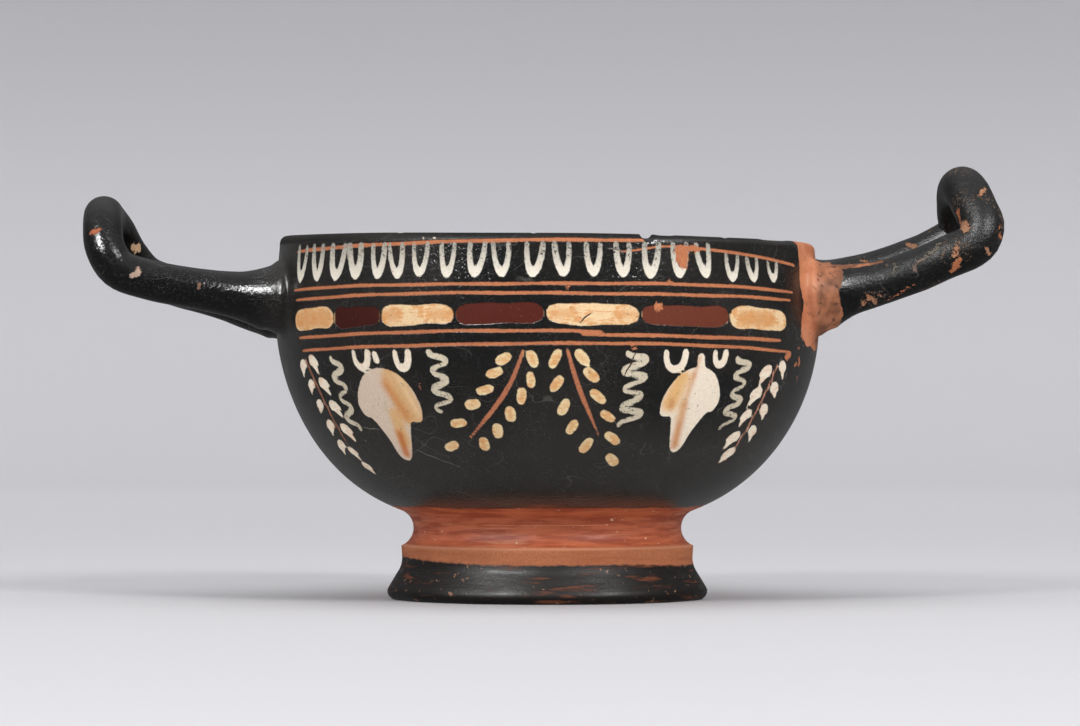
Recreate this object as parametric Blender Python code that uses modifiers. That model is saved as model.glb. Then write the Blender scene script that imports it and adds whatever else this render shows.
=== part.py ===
"""A cup-skyphos: a low, wide drinking cup of fired clay, thrown on the wheel, with two handles of rolled clay.

The cup stands on its turned foot. Its axis is Z, its foot rests on Z = 0, and the handles lie along X.
Each handle is one coil: it leaves the wall, runs outwards as a pair of arms, and its looped end is bent upright.
The wall, foot and handles were joined while damp and fired as one piece, so they are one solid here too.
"""

import math

import bmesh
import bpy
from mathutils import Vector

MM = 0.001

# The thrown cup, in millimetres: heights are above the surface that it stands on, radii are from its axis.
CUP_HEIGHT = 82.0
LIP_RADIUS = 61.1  # outside, just below the rounded lip
LIP_THICKNESS = 3.4
BELOW_LIP = (61.7, 74.0)
SHOULDER = (62.1, 64.0)  # radius and height where the wall is widest and starts to curve in
SHOULDER_DROP = 14.7  # how far the wall falls near-upright before it turns in
BOWL_END = (33.6, 20.3)  # where the bowl meets the foot's stem
BOWL_END_SLOPE = math.radians(20.6)
BOWL_END_REACH = 22.0
WALL_THICKNESS = 4.2
FLOOR_HEIGHT = 17.4  # the cup's inside at its centre
FLOOR_REACH = 37.0
INNER_DROP = 29.0

# The turned foot.
STEM_RADIUS = 30.7
RIDGE = (33.4, 12.1)
RIDGE_HEIGHT = 1.3
COVE_TOP = (33.2, 9.4)
COVE_RADIUS = 6.0
FLARE_SLOPE = math.radians(36)  # from upright
TOE_RADIUS = 36.6
TOE_ROUNDING = 1.7
REST_RING_INSIDE = 29.6  # the cup stands on a flat ring between this radius and the toe
RECESS_TOP = (27.4, 9.6)
RECESS_BEVEL = 1.3
RECESS_CENTRE_HEIGHT = 12.2

# The handles' centrelines: distance from the cup's axis, offset towards the back, height.
# Each runs from the root in front to the root behind, and is lopsided, as a hand-bent coil is.
LEFT_HANDLE = (
    (57.0, -15.5, 67.3),
    (65.5, -15.3, 68.5),
    (74.0, -14.9, 69.8),
    (82.5, -14.5, 71.1),
    (90.2, -14.2, 72.6),
    (96.8, -13.8, 74.9),
    (100.0, -12.8, 79.4),
    (100.9, -9.6, 84.3),
    (101.3, -3.2, 87.3),
    (101.1, 3.6, 86.8),
    (99.2, 9.4, 83.6),
    (96.8, 12.4, 78.8),
    (92.8, 13.8, 74.2),
    (86.0, 14.6, 71.6),
    (76.9, 15.0, 69.3),
    (67.5, 15.2, 67.0),
    (57.0, 15.5, 65.9),
)
RIGHT_HANDLE = (
    (57.0, -15.5, 68.3),
    (65.5, -15.3, 69.9),
    (74.0, -14.9, 71.6),
    (82.3, -14.5, 74.2),
    (89.4, -14.2, 77.2),
    (96.3, -13.7, 80.4),
    (98.5, -12.4, 84.4),
    (97.2, -8.8, 88.8),
    (95.4, -2.6, 93.3),
    (94.6, 4.4, 93.1),
    (94.9, 10.2, 88.8),
    (95.1, 13.0, 83.8),
    (89.4, 14.2, 80.0),
    (81.4, 14.6, 76.7),
    (73.6, 15.0, 74.1),
    (65.6, 15.2, 71.8),
    (57.0, 15.5, 69.9),
)
COIL_RADIUS = 4.45
LEFT_ARCH_SWELL = 0.05  # how much thicker the coil is at the top of its loop
RIGHT_ARCH_SWELL = 0.6
ROOT_FLARE = 4.1  # how much thicker the coil is where it is pressed onto the wall
ROOT_FLARE_LENGTH = 5.8
ROOT_CORE_RADIUS = 59.7  # each root ends at the middle of the wall

# A chip in the front of the rim.
CHIP_TURN = math.radians(22.5)  # from the front, towards the right handle
CHIP_WIDTH = 3.4
CHIP_DEPTH = 1.1

WHEEL_SEGMENTS = 72
CORE_SEGMENTS = 96
STEPS_PER_STATION = 2
BEVEL_RESOLUTION = 4
WELD_DISTANCE = 0.00001
SCREW_MERGE = 0.0001


def clear_scene():
    for obj in list(bpy.data.objects):
        bpy.data.objects.remove(obj)


def new_collection(name):
    collection = bpy.data.collections.new(name)
    bpy.context.scene.collection.children.link(collection)
    return collection


def make_material(name, colour, roughness, metallic=0.0):
    material = bpy.data.materials.new(name)
    material.use_nodes = True
    shader = material.node_tree.nodes["Principled BSDF"]
    shader.inputs["Base Color"].default_value = (*colour, 1.0)
    shader.inputs["Roughness"].default_value = roughness
    shader.inputs["Metallic"].default_value = metallic
    material.diffuse_color = (*colour, 1.0)
    return material


def cubic(start, leave, arrive, end, steps):
    """Points of a cubic Bezier curve, without its first point."""
    points = []
    for step in range(1, steps + 1):
        t = step / steps
        weights = ((1 - t) ** 3, 3 * (1 - t) ** 2 * t, 3 * (1 - t) * t * t, t**3)
        corners = (start, leave, arrive, end)
        points.append(tuple(sum(w * c[i] for w, c in zip(weights, corners)) for i in (0, 1)))
    return points


def arc(centre, radius, from_angle, to_angle, steps):
    """Points of an arc, both ends included; angles are in degrees, anticlockwise from +X."""
    points = []
    for step in range(steps + 1):
        angle = math.radians(from_angle + (to_angle - from_angle) * step / steps)
        points.append((centre[0] + radius * math.cos(angle), centre[1] + radius * math.sin(angle)))
    return points


def arc_between(start, end, depth, steps):
    """Points of the hollow arc that joins two points, with its middle that much nearer to the axis."""
    middle = Vector(((start[0] + end[0]) / 2, (start[1] + end[1]) / 2))
    half_chord = (Vector(start) - Vector(end)).length / 2
    radius = (half_chord**2 + depth**2) / (2 * depth)
    along = (Vector(end) - Vector(start)).normalized()
    inwards = Vector((along.y, -along.x))
    if inwards.x > 0:
        inwards.negate()
    centre = middle - inwards * (radius - depth)
    spread = math.asin(half_chord / radius)
    points = []
    for step in range(steps + 1):
        turn = -spread + 2 * spread * step / steps
        points.append(tuple(centre + radius * (inwards * math.cos(turn) + along * math.sin(turn))))
    return points


def inside_profile():
    """Radius and height down the axis side: from the middle of the floor up to the lip."""
    inner_shoulder = (SHOULDER[0] - WALL_THICKNESS, SHOULDER[1])
    rising = cubic(
        (0.0, FLOOR_HEIGHT),
        (FLOOR_REACH, FLOOR_HEIGHT),
        (inner_shoulder[0], inner_shoulder[1] - INNER_DROP),
        inner_shoulder,
        steps=12,
    )
    return [(0.0, FLOOR_HEIGHT)] + rising


def lip_profile():
    rounding = LIP_THICKNESS / 2
    centre = (LIP_RADIUS - rounding, CUP_HEIGHT - rounding)
    return arc(centre, rounding, 180, 0, steps=6)


def wall_profile():
    """Down the outside of the bowl, to where it meets the stem."""
    reach = (BOWL_END_REACH * math.cos(BOWL_END_SLOPE), BOWL_END_REACH * math.sin(BOWL_END_SLOPE))
    falling = cubic(
        SHOULDER,
        (SHOULDER[0], SHOULDER[1] - SHOULDER_DROP),
        (BOWL_END[0] + reach[0], BOWL_END[1] + reach[1]),
        BOWL_END,
        steps=11,
    )
    return [BELOW_LIP, SHOULDER] + falling


def foot_profile():
    """Down the stem, over the ridge, down the cove to the rounded toe, and under to the middle."""
    stem = arc_between(BOWL_END, RIDGE, BOWL_END[0] - STEM_RADIUS, steps=5)[1:]
    ridge_foot = (RIDGE[0] - 0.1, RIDGE[1] - RIDGE_HEIGHT)
    cove_centre = (COVE_TOP[0] + COVE_RADIUS, COVE_TOP[1])
    cove = arc(cove_centre, COVE_RADIUS, 180, 180 + math.degrees(FLARE_SLOPE), steps=4)
    toe_centre = (TOE_RADIUS - TOE_ROUNDING, TOE_ROUNDING)
    toe = arc(toe_centre, TOE_ROUNDING, math.degrees(FLARE_SLOPE), -90, steps=5)
    recess_corner = (RECESS_TOP[0] - RECESS_BEVEL, RECESS_TOP[1] + RECESS_BEVEL)
    under = [(REST_RING_INSIDE, 0.0), RECESS_TOP, recess_corner]
    return stem + [ridge_foot] + cove + toe + under + [(0.0, RECESS_CENTRE_HEIGHT)]


def turned(name, profile, segments, collection):
    """A profile of (radius, height), turned round Z by a Screw modifier."""
    vertices = [(radius * MM, 0.0, height * MM) for radius, height in profile]
    edges = [(i, i + 1) for i in range(len(vertices) - 1)]
    mesh = bpy.data.meshes.new(name)
    mesh.from_pydata(vertices, edges, [])
    obj = bpy.data.objects.new(name, mesh)
    collection.objects.link(obj)
    screw = obj.modifiers.new("turning", "SCREW")
    screw.steps = screw.render_steps = segments
    screw.use_merge_vertices = True
    screw.merge_threshold = SCREW_MERGE
    screw.use_smooth_shade = True
    return obj


def smooth_route(stations):
    """Points on a Catmull-Rom curve through the stations."""
    stations = [Vector(s) for s in stations]
    ends = [2 * stations[0] - stations[1]] + stations + [2 * stations[-1] - stations[-2]]
    points = []
    for a, b, c, d in zip(ends, ends[1:], ends[2:], ends[3:]):
        for step in range(STEPS_PER_STATION):
            t = step / STEPS_PER_STATION
            points.append(
                0.5 * (2 * b + (c - a) * t + (2 * a - 5 * b + 4 * c - d) * t**2 + (3 * b - a - 3 * c + d) * t**3)
            )
    return points + [stations[-1]]


def coil_radius(share, distance_out, arch_swell):
    """The coil's radius: flared at the wall, and a little thicker at the top of the loop."""
    flare = ROOT_FLARE * math.exp(-max(distance_out - SHOULDER[0], 0.0) / ROOT_FLARE_LENGTH)
    return COIL_RADIUS + flare + arch_swell * math.sin(math.pi * share) ** 2


def rolled_handle(name, stations, side, arch_swell, collection):
    """A coil of clay along its stations, as a closed mesh. Side is -1 for the left handle and 1 for the right."""
    route = smooth_route(stations)
    curve = bpy.data.curves.new(name + "_line", "CURVE")
    curve.dimensions = "3D"
    curve.bevel_depth = MM
    curve.bevel_resolution = BEVEL_RESOLUTION
    curve.use_fill_caps = True
    spline = curve.splines.new("POLY")
    spline.points.add(len(route) - 1)
    for i, (place, point) in enumerate(zip(route, spline.points)):
        point.co = (side * place.x * MM, place.y * MM, place.z * MM, 1.0)
        point.radius = coil_radius(i / (len(route) - 1), place.x, arch_swell)
    line = bpy.data.objects.new(name + "_line", curve)
    collection.objects.link(line)
    bpy.context.view_layer.update()
    evaluated = line.evaluated_get(bpy.context.evaluated_depsgraph_get())
    mesh = bpy.data.meshes.new_from_object(evaluated)
    welded = bmesh.new()
    welded.from_mesh(mesh)
    bmesh.ops.remove_doubles(welded, verts=welded.verts, dist=WELD_DISTANCE)
    bmesh.ops.recalc_face_normals(welded, faces=welded.faces)
    welded.to_mesh(mesh)
    welded.free()
    handle = bpy.data.objects.new(name, mesh)
    collection.objects.link(handle)
    handle.matrix_world = line.matrix_world
    bpy.data.objects.remove(line)
    return handle


def root_core(collection):
    """An upright cylinder to the middle of the wall, which trims the handles' roots."""
    bpy.ops.mesh.primitive_cylinder_add(
        vertices=CORE_SEGMENTS,
        radius=ROOT_CORE_RADIUS * MM,
        depth=2 * CUP_HEIGHT * MM,
        location=(0.0, 0.0, CUP_HEIGHT * MM),
    )
    core = bpy.context.object
    core.name = "root_core"
    for holder in list(core.users_collection):
        holder.objects.unlink(core)
    collection.objects.link(core)
    return core


def rim_chip(collection):
    """A small wedge with a rounded bottom, which nicks the front of the rim."""
    wedge = bmesh.new()
    bmesh.ops.create_cone(
        wedge,
        cap_ends=True,
        segments=7,
        radius1=CHIP_WIDTH / 2 * MM,
        radius2=CHIP_WIDTH / 2 * MM,
        depth=4 * LIP_THICKNESS * MM,
    )
    mesh = bpy.data.meshes.new("rim_chip")
    wedge.to_mesh(mesh)
    wedge.free()
    chip = bpy.data.objects.new("rim_chip", mesh)
    collection.objects.link(chip)
    lip_middle = LIP_RADIUS - LIP_THICKNESS / 2
    chip.rotation_euler = (math.radians(90), 0.0, CHIP_TURN)
    chip.location = (
        lip_middle * math.sin(CHIP_TURN) * MM,
        -lip_middle * math.cos(CHIP_TURN) * MM,
        (CUP_HEIGHT - CHIP_DEPTH + CHIP_WIDTH / 2) * MM,
    )
    return chip


def join_or_cut(obj, other, operation):
    boolean = obj.modifiers.new(other.name, "BOOLEAN")
    boolean.operation = operation
    boolean.object = other


def hide_helper(obj):
    obj.hide_render = True
    obj.display_type = "WIRE"


def build():
    clear_scene()
    cup_parts = new_collection("cup_skyphos")
    helpers = new_collection("joined_and_cutting_shapes")
    black_gloss = make_material("black_gloss", (0.012, 0.011, 0.010), roughness=0.28)

    profile = inside_profile() + lip_profile() + wall_profile() + foot_profile()
    cup = turned("cup_skyphos", profile, WHEEL_SEGMENTS, cup_parts)
    cup.data.materials.append(black_gloss)

    core = root_core(helpers)
    left = rolled_handle("left_handle", LEFT_HANDLE, -1, LEFT_ARCH_SWELL, helpers)
    right = rolled_handle("right_handle", RIGHT_HANDLE, 1, RIGHT_ARCH_SWELL, helpers)
    for handle in (left, right):
        handle.data.materials.append(black_gloss)
        join_or_cut(handle, core, "DIFFERENCE")
        join_or_cut(cup, handle, "UNION")
    chip = rim_chip(helpers)
    join_or_cut(cup, chip, "DIFFERENCE")
    for helper in (core, left, right, chip):
        hide_helper(helper)


build()
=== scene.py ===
"""The looks of a cup-skyphos: a black-gloss drinking cup of fired clay, with ornament painted on the gloss.

The cup stands on its foot on Z = 0, with its axis on Z, its handles along X and its painted front towards -Y.
It is one piece, so the sections below follow how a potter and a painter made it, one after another.
"""

import math

import bmesh
import bpy
import numpy as np
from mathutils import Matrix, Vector
from mathutils.kdtree import KDTree


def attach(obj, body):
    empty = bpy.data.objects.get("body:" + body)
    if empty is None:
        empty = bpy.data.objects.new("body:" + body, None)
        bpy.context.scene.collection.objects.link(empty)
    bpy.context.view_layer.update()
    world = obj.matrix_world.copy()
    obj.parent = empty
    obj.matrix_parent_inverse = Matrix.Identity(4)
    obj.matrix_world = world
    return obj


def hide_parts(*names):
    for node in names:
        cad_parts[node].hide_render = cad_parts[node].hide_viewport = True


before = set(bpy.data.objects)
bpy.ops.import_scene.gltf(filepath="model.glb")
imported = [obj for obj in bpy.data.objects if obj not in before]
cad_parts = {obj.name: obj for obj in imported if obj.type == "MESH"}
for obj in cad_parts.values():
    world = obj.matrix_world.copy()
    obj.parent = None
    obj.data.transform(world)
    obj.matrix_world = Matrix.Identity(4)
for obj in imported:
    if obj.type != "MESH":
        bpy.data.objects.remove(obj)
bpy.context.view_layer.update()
MM = 0.001

# ------------------------------------------------------------------------------------------------------------
# The bowl and foot: clay thrown on the wheel, then turned with a tool when leather-hard. The shape is a
# profile turned round the axis, with its finest steps in front, where the ornament is. Radii are from the
# axis and heights above the table, in millimetres.
# ------------------------------------------------------------------------------------------------------------
CUP_HEIGHT = 82.0
LIP_RADIUS = 61.1
LIP_ROUNDING = 1.7
LIP_SWELL, LIP_SWELL_HEIGHT = 0.4, 75.5  # below the lip the wall swells out by so much at this height
SHOULDER = (62.1, 64.0)
SHOULDER_RISE, SHOULDER_DROP = 5.5, 14.7  # how far the wall runs upright above and below its widest place
BOWL_END = (33.6, 20.3)
BOWL_END_SLOPE = math.radians(20.6)  # where the bowl meets the stem
BOWL_END_REACH = 22.0  # how far the bowl's curve follows that slope
WALL_THICKNESS = 4.2
FLOOR_HEIGHT = 17.4
FLOOR_REACH = 37.0  # how far out the inside's curve follows the level floor
INNER_DROP = 29.0  # and how far down it follows the upright wall
STEM_RADIUS = 30.7
RIDGE = (33.4, 12.1)
RIDGE_HEIGHT, RIDGE_UNDERCUT = 1.3, 0.1
COVE_TOP = (33.2, 9.4)
COVE_RADIUS = 6.0
FLARE_SLOPE = math.radians(36)
TOE_RADIUS = 36.6
TOE_ROUNDING = 1.7
REST_RING_INSIDE = 29.6
RECESS_TOP = (27.4, 9.6)
RECESS_BEVEL = 1.3
RECESS_CENTRE_HEIGHT = 12.2
WHEEL_STEPS = 456
FRONT_FINENESS = 0.42


def put(tree, kind, inputs=(), **settings):
    """A new node with its settings, and its inputs joined to sockets or set to values."""
    made = tree.nodes.new(kind)
    for name, value in settings.items():
        setattr(made, name, value)
    for key, value in dict(inputs).items():
        if isinstance(value, bpy.types.NodeSocket):
            tree.links.new(value, made.inputs[key])
        else:
            made.inputs[key].default_value = value
    return made


def calc(tree, operation, first, second=0.0, clamp=False):
    """One step of arithmetic in a node tree."""
    numbers = {0: first, 1: second, 2: 0.0}
    return put(tree, "ShaderNodeMath", numbers, operation=operation, use_clamp=clamp).outputs[0]


def plus(tree, first, second):
    return calc(tree, "ADD", first, second)


def minus(tree, first, second):
    return calc(tree, "SUBTRACT", first, second)


def times(tree, first, second):
    return calc(tree, "MULTIPLY", first, second)


def cubic(start, leave, arrive, end, count=120):
    """A curve from start to end that leaves and arrives along its two control points."""
    t = np.linspace(0, 1, count)[:, None]
    start, leave, arrive, end = (np.array(p, float) for p in (start, leave, arrive, end))
    return (1 - t) ** 3 * start + 3 * (1 - t) ** 2 * t * leave + 3 * (1 - t) * t * t * arrive + t**3 * end


def arc(centre, radius, from_angle, to_angle, count=60):
    """Part of a circle between two angles in degrees."""
    angle = np.radians(np.linspace(from_angle, to_angle, count))
    return np.array(centre) + radius * np.stack((np.cos(angle), np.sin(angle)), axis=1)


def evenly(points, spacing):
    """The same line with its points about that far apart."""
    points = np.array(points, float)
    lengths = np.concatenate(([0.0], np.cumsum(np.linalg.norm(np.diff(points, axis=0), axis=1))))
    count = max(2, int(round(lengths[-1] / spacing)) + 1)
    stations = np.linspace(0, lengths[-1], count)
    return np.stack([np.interp(stations, lengths, points[:, i]) for i in range(points.shape[1])], axis=1)


def hollow_arc(start, end, depth, count=40):
    """The arc that joins two points, with its middle that much nearer to the axis."""
    start, end = np.array(start, float), np.array(end, float)
    half = np.linalg.norm(end - start) / 2
    radius = (half**2 + depth**2) / (2 * depth)
    along = (end - start) / (2 * half)
    inwards = np.array((along[1], -along[0]))
    inwards = inwards if inwards[0] < 0 else -inwards
    turn = np.linspace(-math.asin(half / radius), math.asin(half / radius), count)[:, None]
    centre = (start + end) / 2 - inwards * (radius - depth)
    return centre + radius * (inwards * np.cos(turn) + along * np.sin(turn))


inner_shoulder = (SHOULDER[0] - WALL_THICKNESS, SHOULDER[1])
lip_centre = (LIP_RADIUS - LIP_ROUNDING, CUP_HEIGHT - LIP_ROUNDING)
inside = cubic(
    (0.0, FLOOR_HEIGHT),
    (FLOOR_REACH, FLOOR_HEIGHT),
    (inner_shoulder[0], inner_shoulder[1] - INNER_DROP),
    inner_shoulder,
)
inside_lip = (lip_centre[0] - LIP_ROUNDING, lip_centre[1])
outer_lip = (LIP_RADIUS, lip_centre[1])
upper_wall = cubic(
    outer_lip,
    (LIP_RADIUS + LIP_SWELL, LIP_SWELL_HEIGHT),
    (SHOULDER[0], SHOULDER[1] + SHOULDER_RISE),
    SHOULDER,
)
bowl_reach = (BOWL_END_REACH * math.cos(BOWL_END_SLOPE), BOWL_END_REACH * math.sin(BOWL_END_SLOPE))
lower_wall = cubic(
    SHOULDER,
    (SHOULDER[0], SHOULDER[1] - SHOULDER_DROP),
    (BOWL_END[0] + bowl_reach[0], BOWL_END[1] + bowl_reach[1]),
    BOWL_END,
)
stem = hollow_arc(BOWL_END, RIDGE, BOWL_END[0] - STEM_RADIUS)
ridge_foot = (RIDGE[0] - RIDGE_UNDERCUT, RIDGE[1] - RIDGE_HEIGHT)
cove = arc((COVE_TOP[0] + COVE_RADIUS, COVE_TOP[1]), COVE_RADIUS, 180, 180 + math.degrees(FLARE_SLOPE))
toe = arc((TOE_RADIUS - TOE_ROUNDING, TOE_ROUNDING), TOE_ROUNDING, math.degrees(FLARE_SLOPE), -90)
recess_corner = (RECESS_TOP[0] - RECESS_BEVEL, RECESS_TOP[1] + RECESS_BEVEL)

# From the middle of the floor up over the lip, down the outside and under the foot. Each part says how far
# apart its points are: close together on the outside, where the ornament is, and on tight curves.
outer_wall = evenly(np.vstack((upper_wall, lower_wall)), 0.7)
profile = np.vstack(
    (
        evenly(np.vstack((inside, [inside_lip])), 3.6),
        evenly(arc(lip_centre, LIP_ROUNDING, 180, 0), 0.55)[1:],
        outer_wall[1:],
        evenly(stem, 0.8)[1:],
        evenly([RIDGE, ridge_foot, tuple(cove[0])], 0.65)[1:],
        evenly(cove, 0.8)[1:],
        evenly([tuple(cove[-1]), tuple(toe[0])], 0.9)[1:],
        evenly(toe, 0.7)[1:],
        evenly([tuple(toe[-1]), (REST_RING_INSIDE, 0.0)], 1.7)[1:],
        evenly([(REST_RING_INSIDE, 0.0), RECESS_TOP, recess_corner], 2.0)[1:],
        evenly([recess_corner, (0.0, RECESS_CENTRE_HEIGHT)], 4.5)[1:],
    )
)


def line_object(name, points):
    """A bare polyline in millimetres, which a node tree turns or sweeps into a body."""
    mesh = bpy.data.meshes.new(name)
    corners = [tuple(value * MM for value in point) for point in points]
    mesh.from_pydata(corners, [(i, i + 1) for i in range(len(corners) - 1)], [])
    obj = bpy.data.objects.new(name, mesh)
    bpy.context.scene.collection.objects.link(obj)
    return obj


def geometry_tree(name, sizes):
    """A geometry node tree with a geometry in and out and the named inputs."""
    tree = bpy.data.node_groups.new(name, "GeometryNodeTree")
    tree.interface.new_socket("Geometry", in_out="INPUT", socket_type="NodeSocketGeometry")
    for label, (kind, value) in sizes.items():
        socket = tree.interface.new_socket(label, in_out="INPUT", socket_type=kind)
        if value is not None:
            socket.default_value = value
    tree.interface.new_socket("Geometry", in_out="OUTPUT", socket_type="NodeSocketGeometry")
    return tree, tree.nodes.new("NodeGroupInput").outputs, tree.nodes.new("NodeGroupOutput").inputs


def made_by(tree, obj, values):
    """Runs a geometry node tree on an object and keeps the result as its plain mesh."""
    modifier = obj.modifiers.new(tree.name, "NODES")
    modifier.node_group = tree
    for item in tree.interface.items_tree:
        if item.item_type == "SOCKET" and item.in_out == "INPUT" and item.name in values:
            modifier[item.identifier] = values[item.name]
    bpy.context.view_layer.update()
    evaluated = obj.evaluated_get(bpy.context.evaluated_depsgraph_get())
    mesh = bpy.data.meshes.new_from_object(evaluated)
    obj.modifiers.clear()
    obj.data = mesh
    return obj


wheel, wanted, made = geometry_tree(
    "wheel_turned",
    {
        "Steps Round": ("NodeSocketInt", 72),
        "Rows": ("NodeSocketInt", 10),
        "Front Fineness": ("NodeSocketFloat", 0.0),
        "Material": ("NodeSocketMaterial", None),
    },
)
columns = put(wheel, "FunctionNodeIntegerMath", {0: wanted["Steps Round"], 1: 1}, operation="ADD")
sheet = put(
    wheel,
    "GeometryNodeMeshGrid",
    {"Size X": 1.0, "Size Y": 1.0, "Vertices X": columns.outputs[0], "Vertices Y": wanted["Rows"]},
)
index = put(wheel, "GeometryNodeInputIndex").outputs[0]
row = put(wheel, "FunctionNodeIntegerMath", {0: index, 1: wanted["Rows"]}, operation="MODULO")
column = put(wheel, "FunctionNodeIntegerMath", {0: index, 1: wanted["Rows"]}, operation="DIVIDE_FLOOR")
place = put(wheel, "GeometryNodeInputPosition").outputs[0]
station = put(
    wheel,
    "GeometryNodeSampleIndex",
    {"Geometry": wanted["Geometry"], "Value": place, "Index": row.outputs[0]},
    data_type="FLOAT_VECTOR",
    domain="POINT",
)
across = put(wheel, "ShaderNodeSeparateXYZ", {0: station.outputs[0]})
turn = calc(wheel, "DIVIDE", column.outputs[0], wanted["Steps Round"])
turn = times(wheel, turn, 2 * math.pi)
gather = times(wheel, calc(wheel, "SINE", turn), wanted["Front Fineness"])
turn = minus(wheel, turn, gather)
turned_place = put(
    wheel,
    "ShaderNodeCombineXYZ",
    {
        0: times(wheel, across.outputs[0], calc(wheel, "SINE", turn)),
        1: times(wheel, across.outputs[0], times(wheel, calc(wheel, "COSINE", turn), -1.0)),
        2: across.outputs[2],
    },
)
turned_sheet = {"Geometry": sheet.outputs[0], "Position": turned_place.outputs[0]}
placed = put(wheel, "GeometryNodeSetPosition", turned_sheet)
closed = put(wheel, "GeometryNodeMergeByDistance", {"Geometry": placed.outputs[0], "Distance": 2e-6})
smooth = put(wheel, "GeometryNodeSetShadeSmooth", {"Geometry": closed.outputs[0]})
real = put(wheel, "GeometryNodeRealizeInstances", {"Geometry": smooth.outputs[0]})
clad = put(wheel, "GeometryNodeSetMaterial", {"Geometry": real.outputs[0], "Material": wanted["Material"]})
wheel.links.new(clad.outputs[0], made[0])

painted_gloss = bpy.data.materials.new("painted_gloss")
cup = made_by(
    wheel,
    line_object("cup", [(radius, 0.0, height) for radius, height in profile]),
    {
        "Steps Round": WHEEL_STEPS,
        "Rows": len(profile),
        "Front Fineness": FRONT_FINENESS,
        "Material": painted_gloss,
    },
)

# ------------------------------------------------------------------------------------------------------------
# The handles: each is one coil of clay rolled by hand, pressed on at two roots, with its looped end bent
# upright. The stations of its middle line run from the front root to the back one: distance out, offset back,
# height.
# ------------------------------------------------------------------------------------------------------------
LEFT_HANDLE = (
    (57.0, -15.5, 67.3), (65.5, -15.3, 68.5), (74.0, -14.9, 69.8), (82.5, -14.5, 71.1), (90.2, -14.2, 72.6),
    (96.8, -13.8, 74.9), (100.0, -12.8, 79.4), (100.9, -9.6, 84.3), (101.3, -3.2, 87.3), (101.1, 3.6, 86.8),
    (99.2, 9.4, 83.6), (96.8, 12.4, 78.8), (92.8, 13.8, 74.2), (86.0, 14.6, 71.6), (76.9, 15.0, 69.3),
    (67.5, 15.2, 67.0), (57.0, 15.5, 65.9),
)
RIGHT_HANDLE = (
    (57.0, -15.5, 68.3), (65.5, -15.3, 69.9), (74.0, -14.9, 71.6), (82.3, -14.5, 74.2), (89.4, -14.2, 77.2),
    (96.3, -13.7, 80.4), (98.5, -12.4, 84.4), (97.2, -8.8, 88.8), (95.4, -2.6, 93.3), (94.6, 4.4, 93.1),
    (94.9, 10.2, 88.8), (95.1, 13.0, 83.8), (89.4, 14.2, 80.0), (81.4, 14.6, 76.7), (73.6, 15.0, 74.1),
    (65.6, 15.2, 71.8), (57.0, 15.5, 69.9),
)
COIL_RADIUS = 4.45
COIL_UNEVENNESS = 0.35
LEFT_ARCH_SWELL = 0.05
RIGHT_ARCH_SWELL = 0.6
ROOT_FLARE = 4.1
ROOT_FLARE_LENGTH = 5.8
LEFT_TOP_FLARE, RIGHT_TOP_FLARE = 0.78, 1.05  # the flare's share on top of the coil
ROOT_WEB = 3.7  # the radius of the web of clay that the potter's finger drew up the wall above a root
ROOT_FOLLOWS_WALL = 13.0  # within this distance of the wall the coil's rings bend to its curve
COIL_SIDES = 44


def smooth_route(stations, steps=24):
    """Points close together on a Catmull-Rom curve through the stations."""
    stations = np.array(stations, float)
    ends = np.vstack((2 * stations[0] - stations[1], stations, 2 * stations[-1] - stations[-2]))
    t = np.linspace(0, 1, steps, endpoint=False)[:, None]
    parts = []
    for a, b, c, d in zip(ends, ends[1:], ends[2:], ends[3:]):
        bend, twist = 2 * a - 5 * b + 4 * c - d, 3 * b - a - 3 * c + d
        parts.append(0.5 * (2 * b + (c - a) * t + bend * t**2 + twist * t**3))
    return np.vstack(parts + [stations[-1:]])


def rings_along(route):
    """Places for the coil's rings: close together at the roots, where it flares onto the wall."""
    lengths = np.concatenate(([0.0], np.cumsum(np.linalg.norm(np.diff(route, axis=0), axis=1))))
    gap = np.hypot(route[:, 0], route[:, 1]) - SHOULDER[0]
    step = np.interp(gap, (-1.6, -0.6, 2.5, 8.0), (1.2, 0.34, 0.5, 1.3))
    density = np.concatenate(([0.0], np.cumsum(np.diff(lengths) / ((step[1:] + step[:-1]) / 2))))
    stations = np.linspace(0, density[-1], int(round(density[-1])) + 1)
    along = np.interp(stations, density, lengths)
    return np.stack([np.interp(along, lengths, route[:, i]) for i in range(3)], axis=1)


def squared(tree, value):
    return calc(tree, "POWER", value, 2.0)


def between(tree, value, low, high, bottom=0.0, top=1.0):
    """The value eased from bottom to top as it goes from low to high."""
    ends = {0: value, 1: low, 2: high, 3: bottom, 4: top}
    return put(tree, "ShaderNodeMapRange", ends, interpolation_type="SMOOTHSTEP").outputs[0]


coil, wanted, made = geometry_tree(
    "rolled_coil",
    {
        "Coil Radius": ("NodeSocketFloat", 0.0045),
        "Arch Swell": ("NodeSocketFloat", 0.0),
        "Root Flare": ("NodeSocketFloat", 0.004),
        "Flare Length": ("NodeSocketFloat", 0.006),
        "Top Flare": ("NodeSocketFloat", 1.0),
        "Root Web": ("NodeSocketFloat", 0.0037),
        "Wall Radius": ("NodeSocketFloat", 0.0621),
        "Follow Length": ("NodeSocketFloat", 0.013),
        "Unevenness": ("NodeSocketFloat", 0.0003),
        "Sides": ("NodeSocketInt", 24),
        "Material": ("NodeSocketMaterial", None),
    },
)
path = put(coil, "GeometryNodeMeshToCurve", {"Mesh": wanted["Geometry"]})
at = put(coil, "ShaderNodeSeparateXYZ", {0: put(coil, "GeometryNodeInputPosition").outputs[0]})
out = calc(coil, "ABSOLUTE", at.outputs[0])
beyond = calc(coil, "MAXIMUM", minus(coil, out, wanted["Wall Radius"]), 0.0)
decay = times(coil, calc(coil, "DIVIDE", beyond, wanted["Flare Length"]), -1.0)
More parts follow.
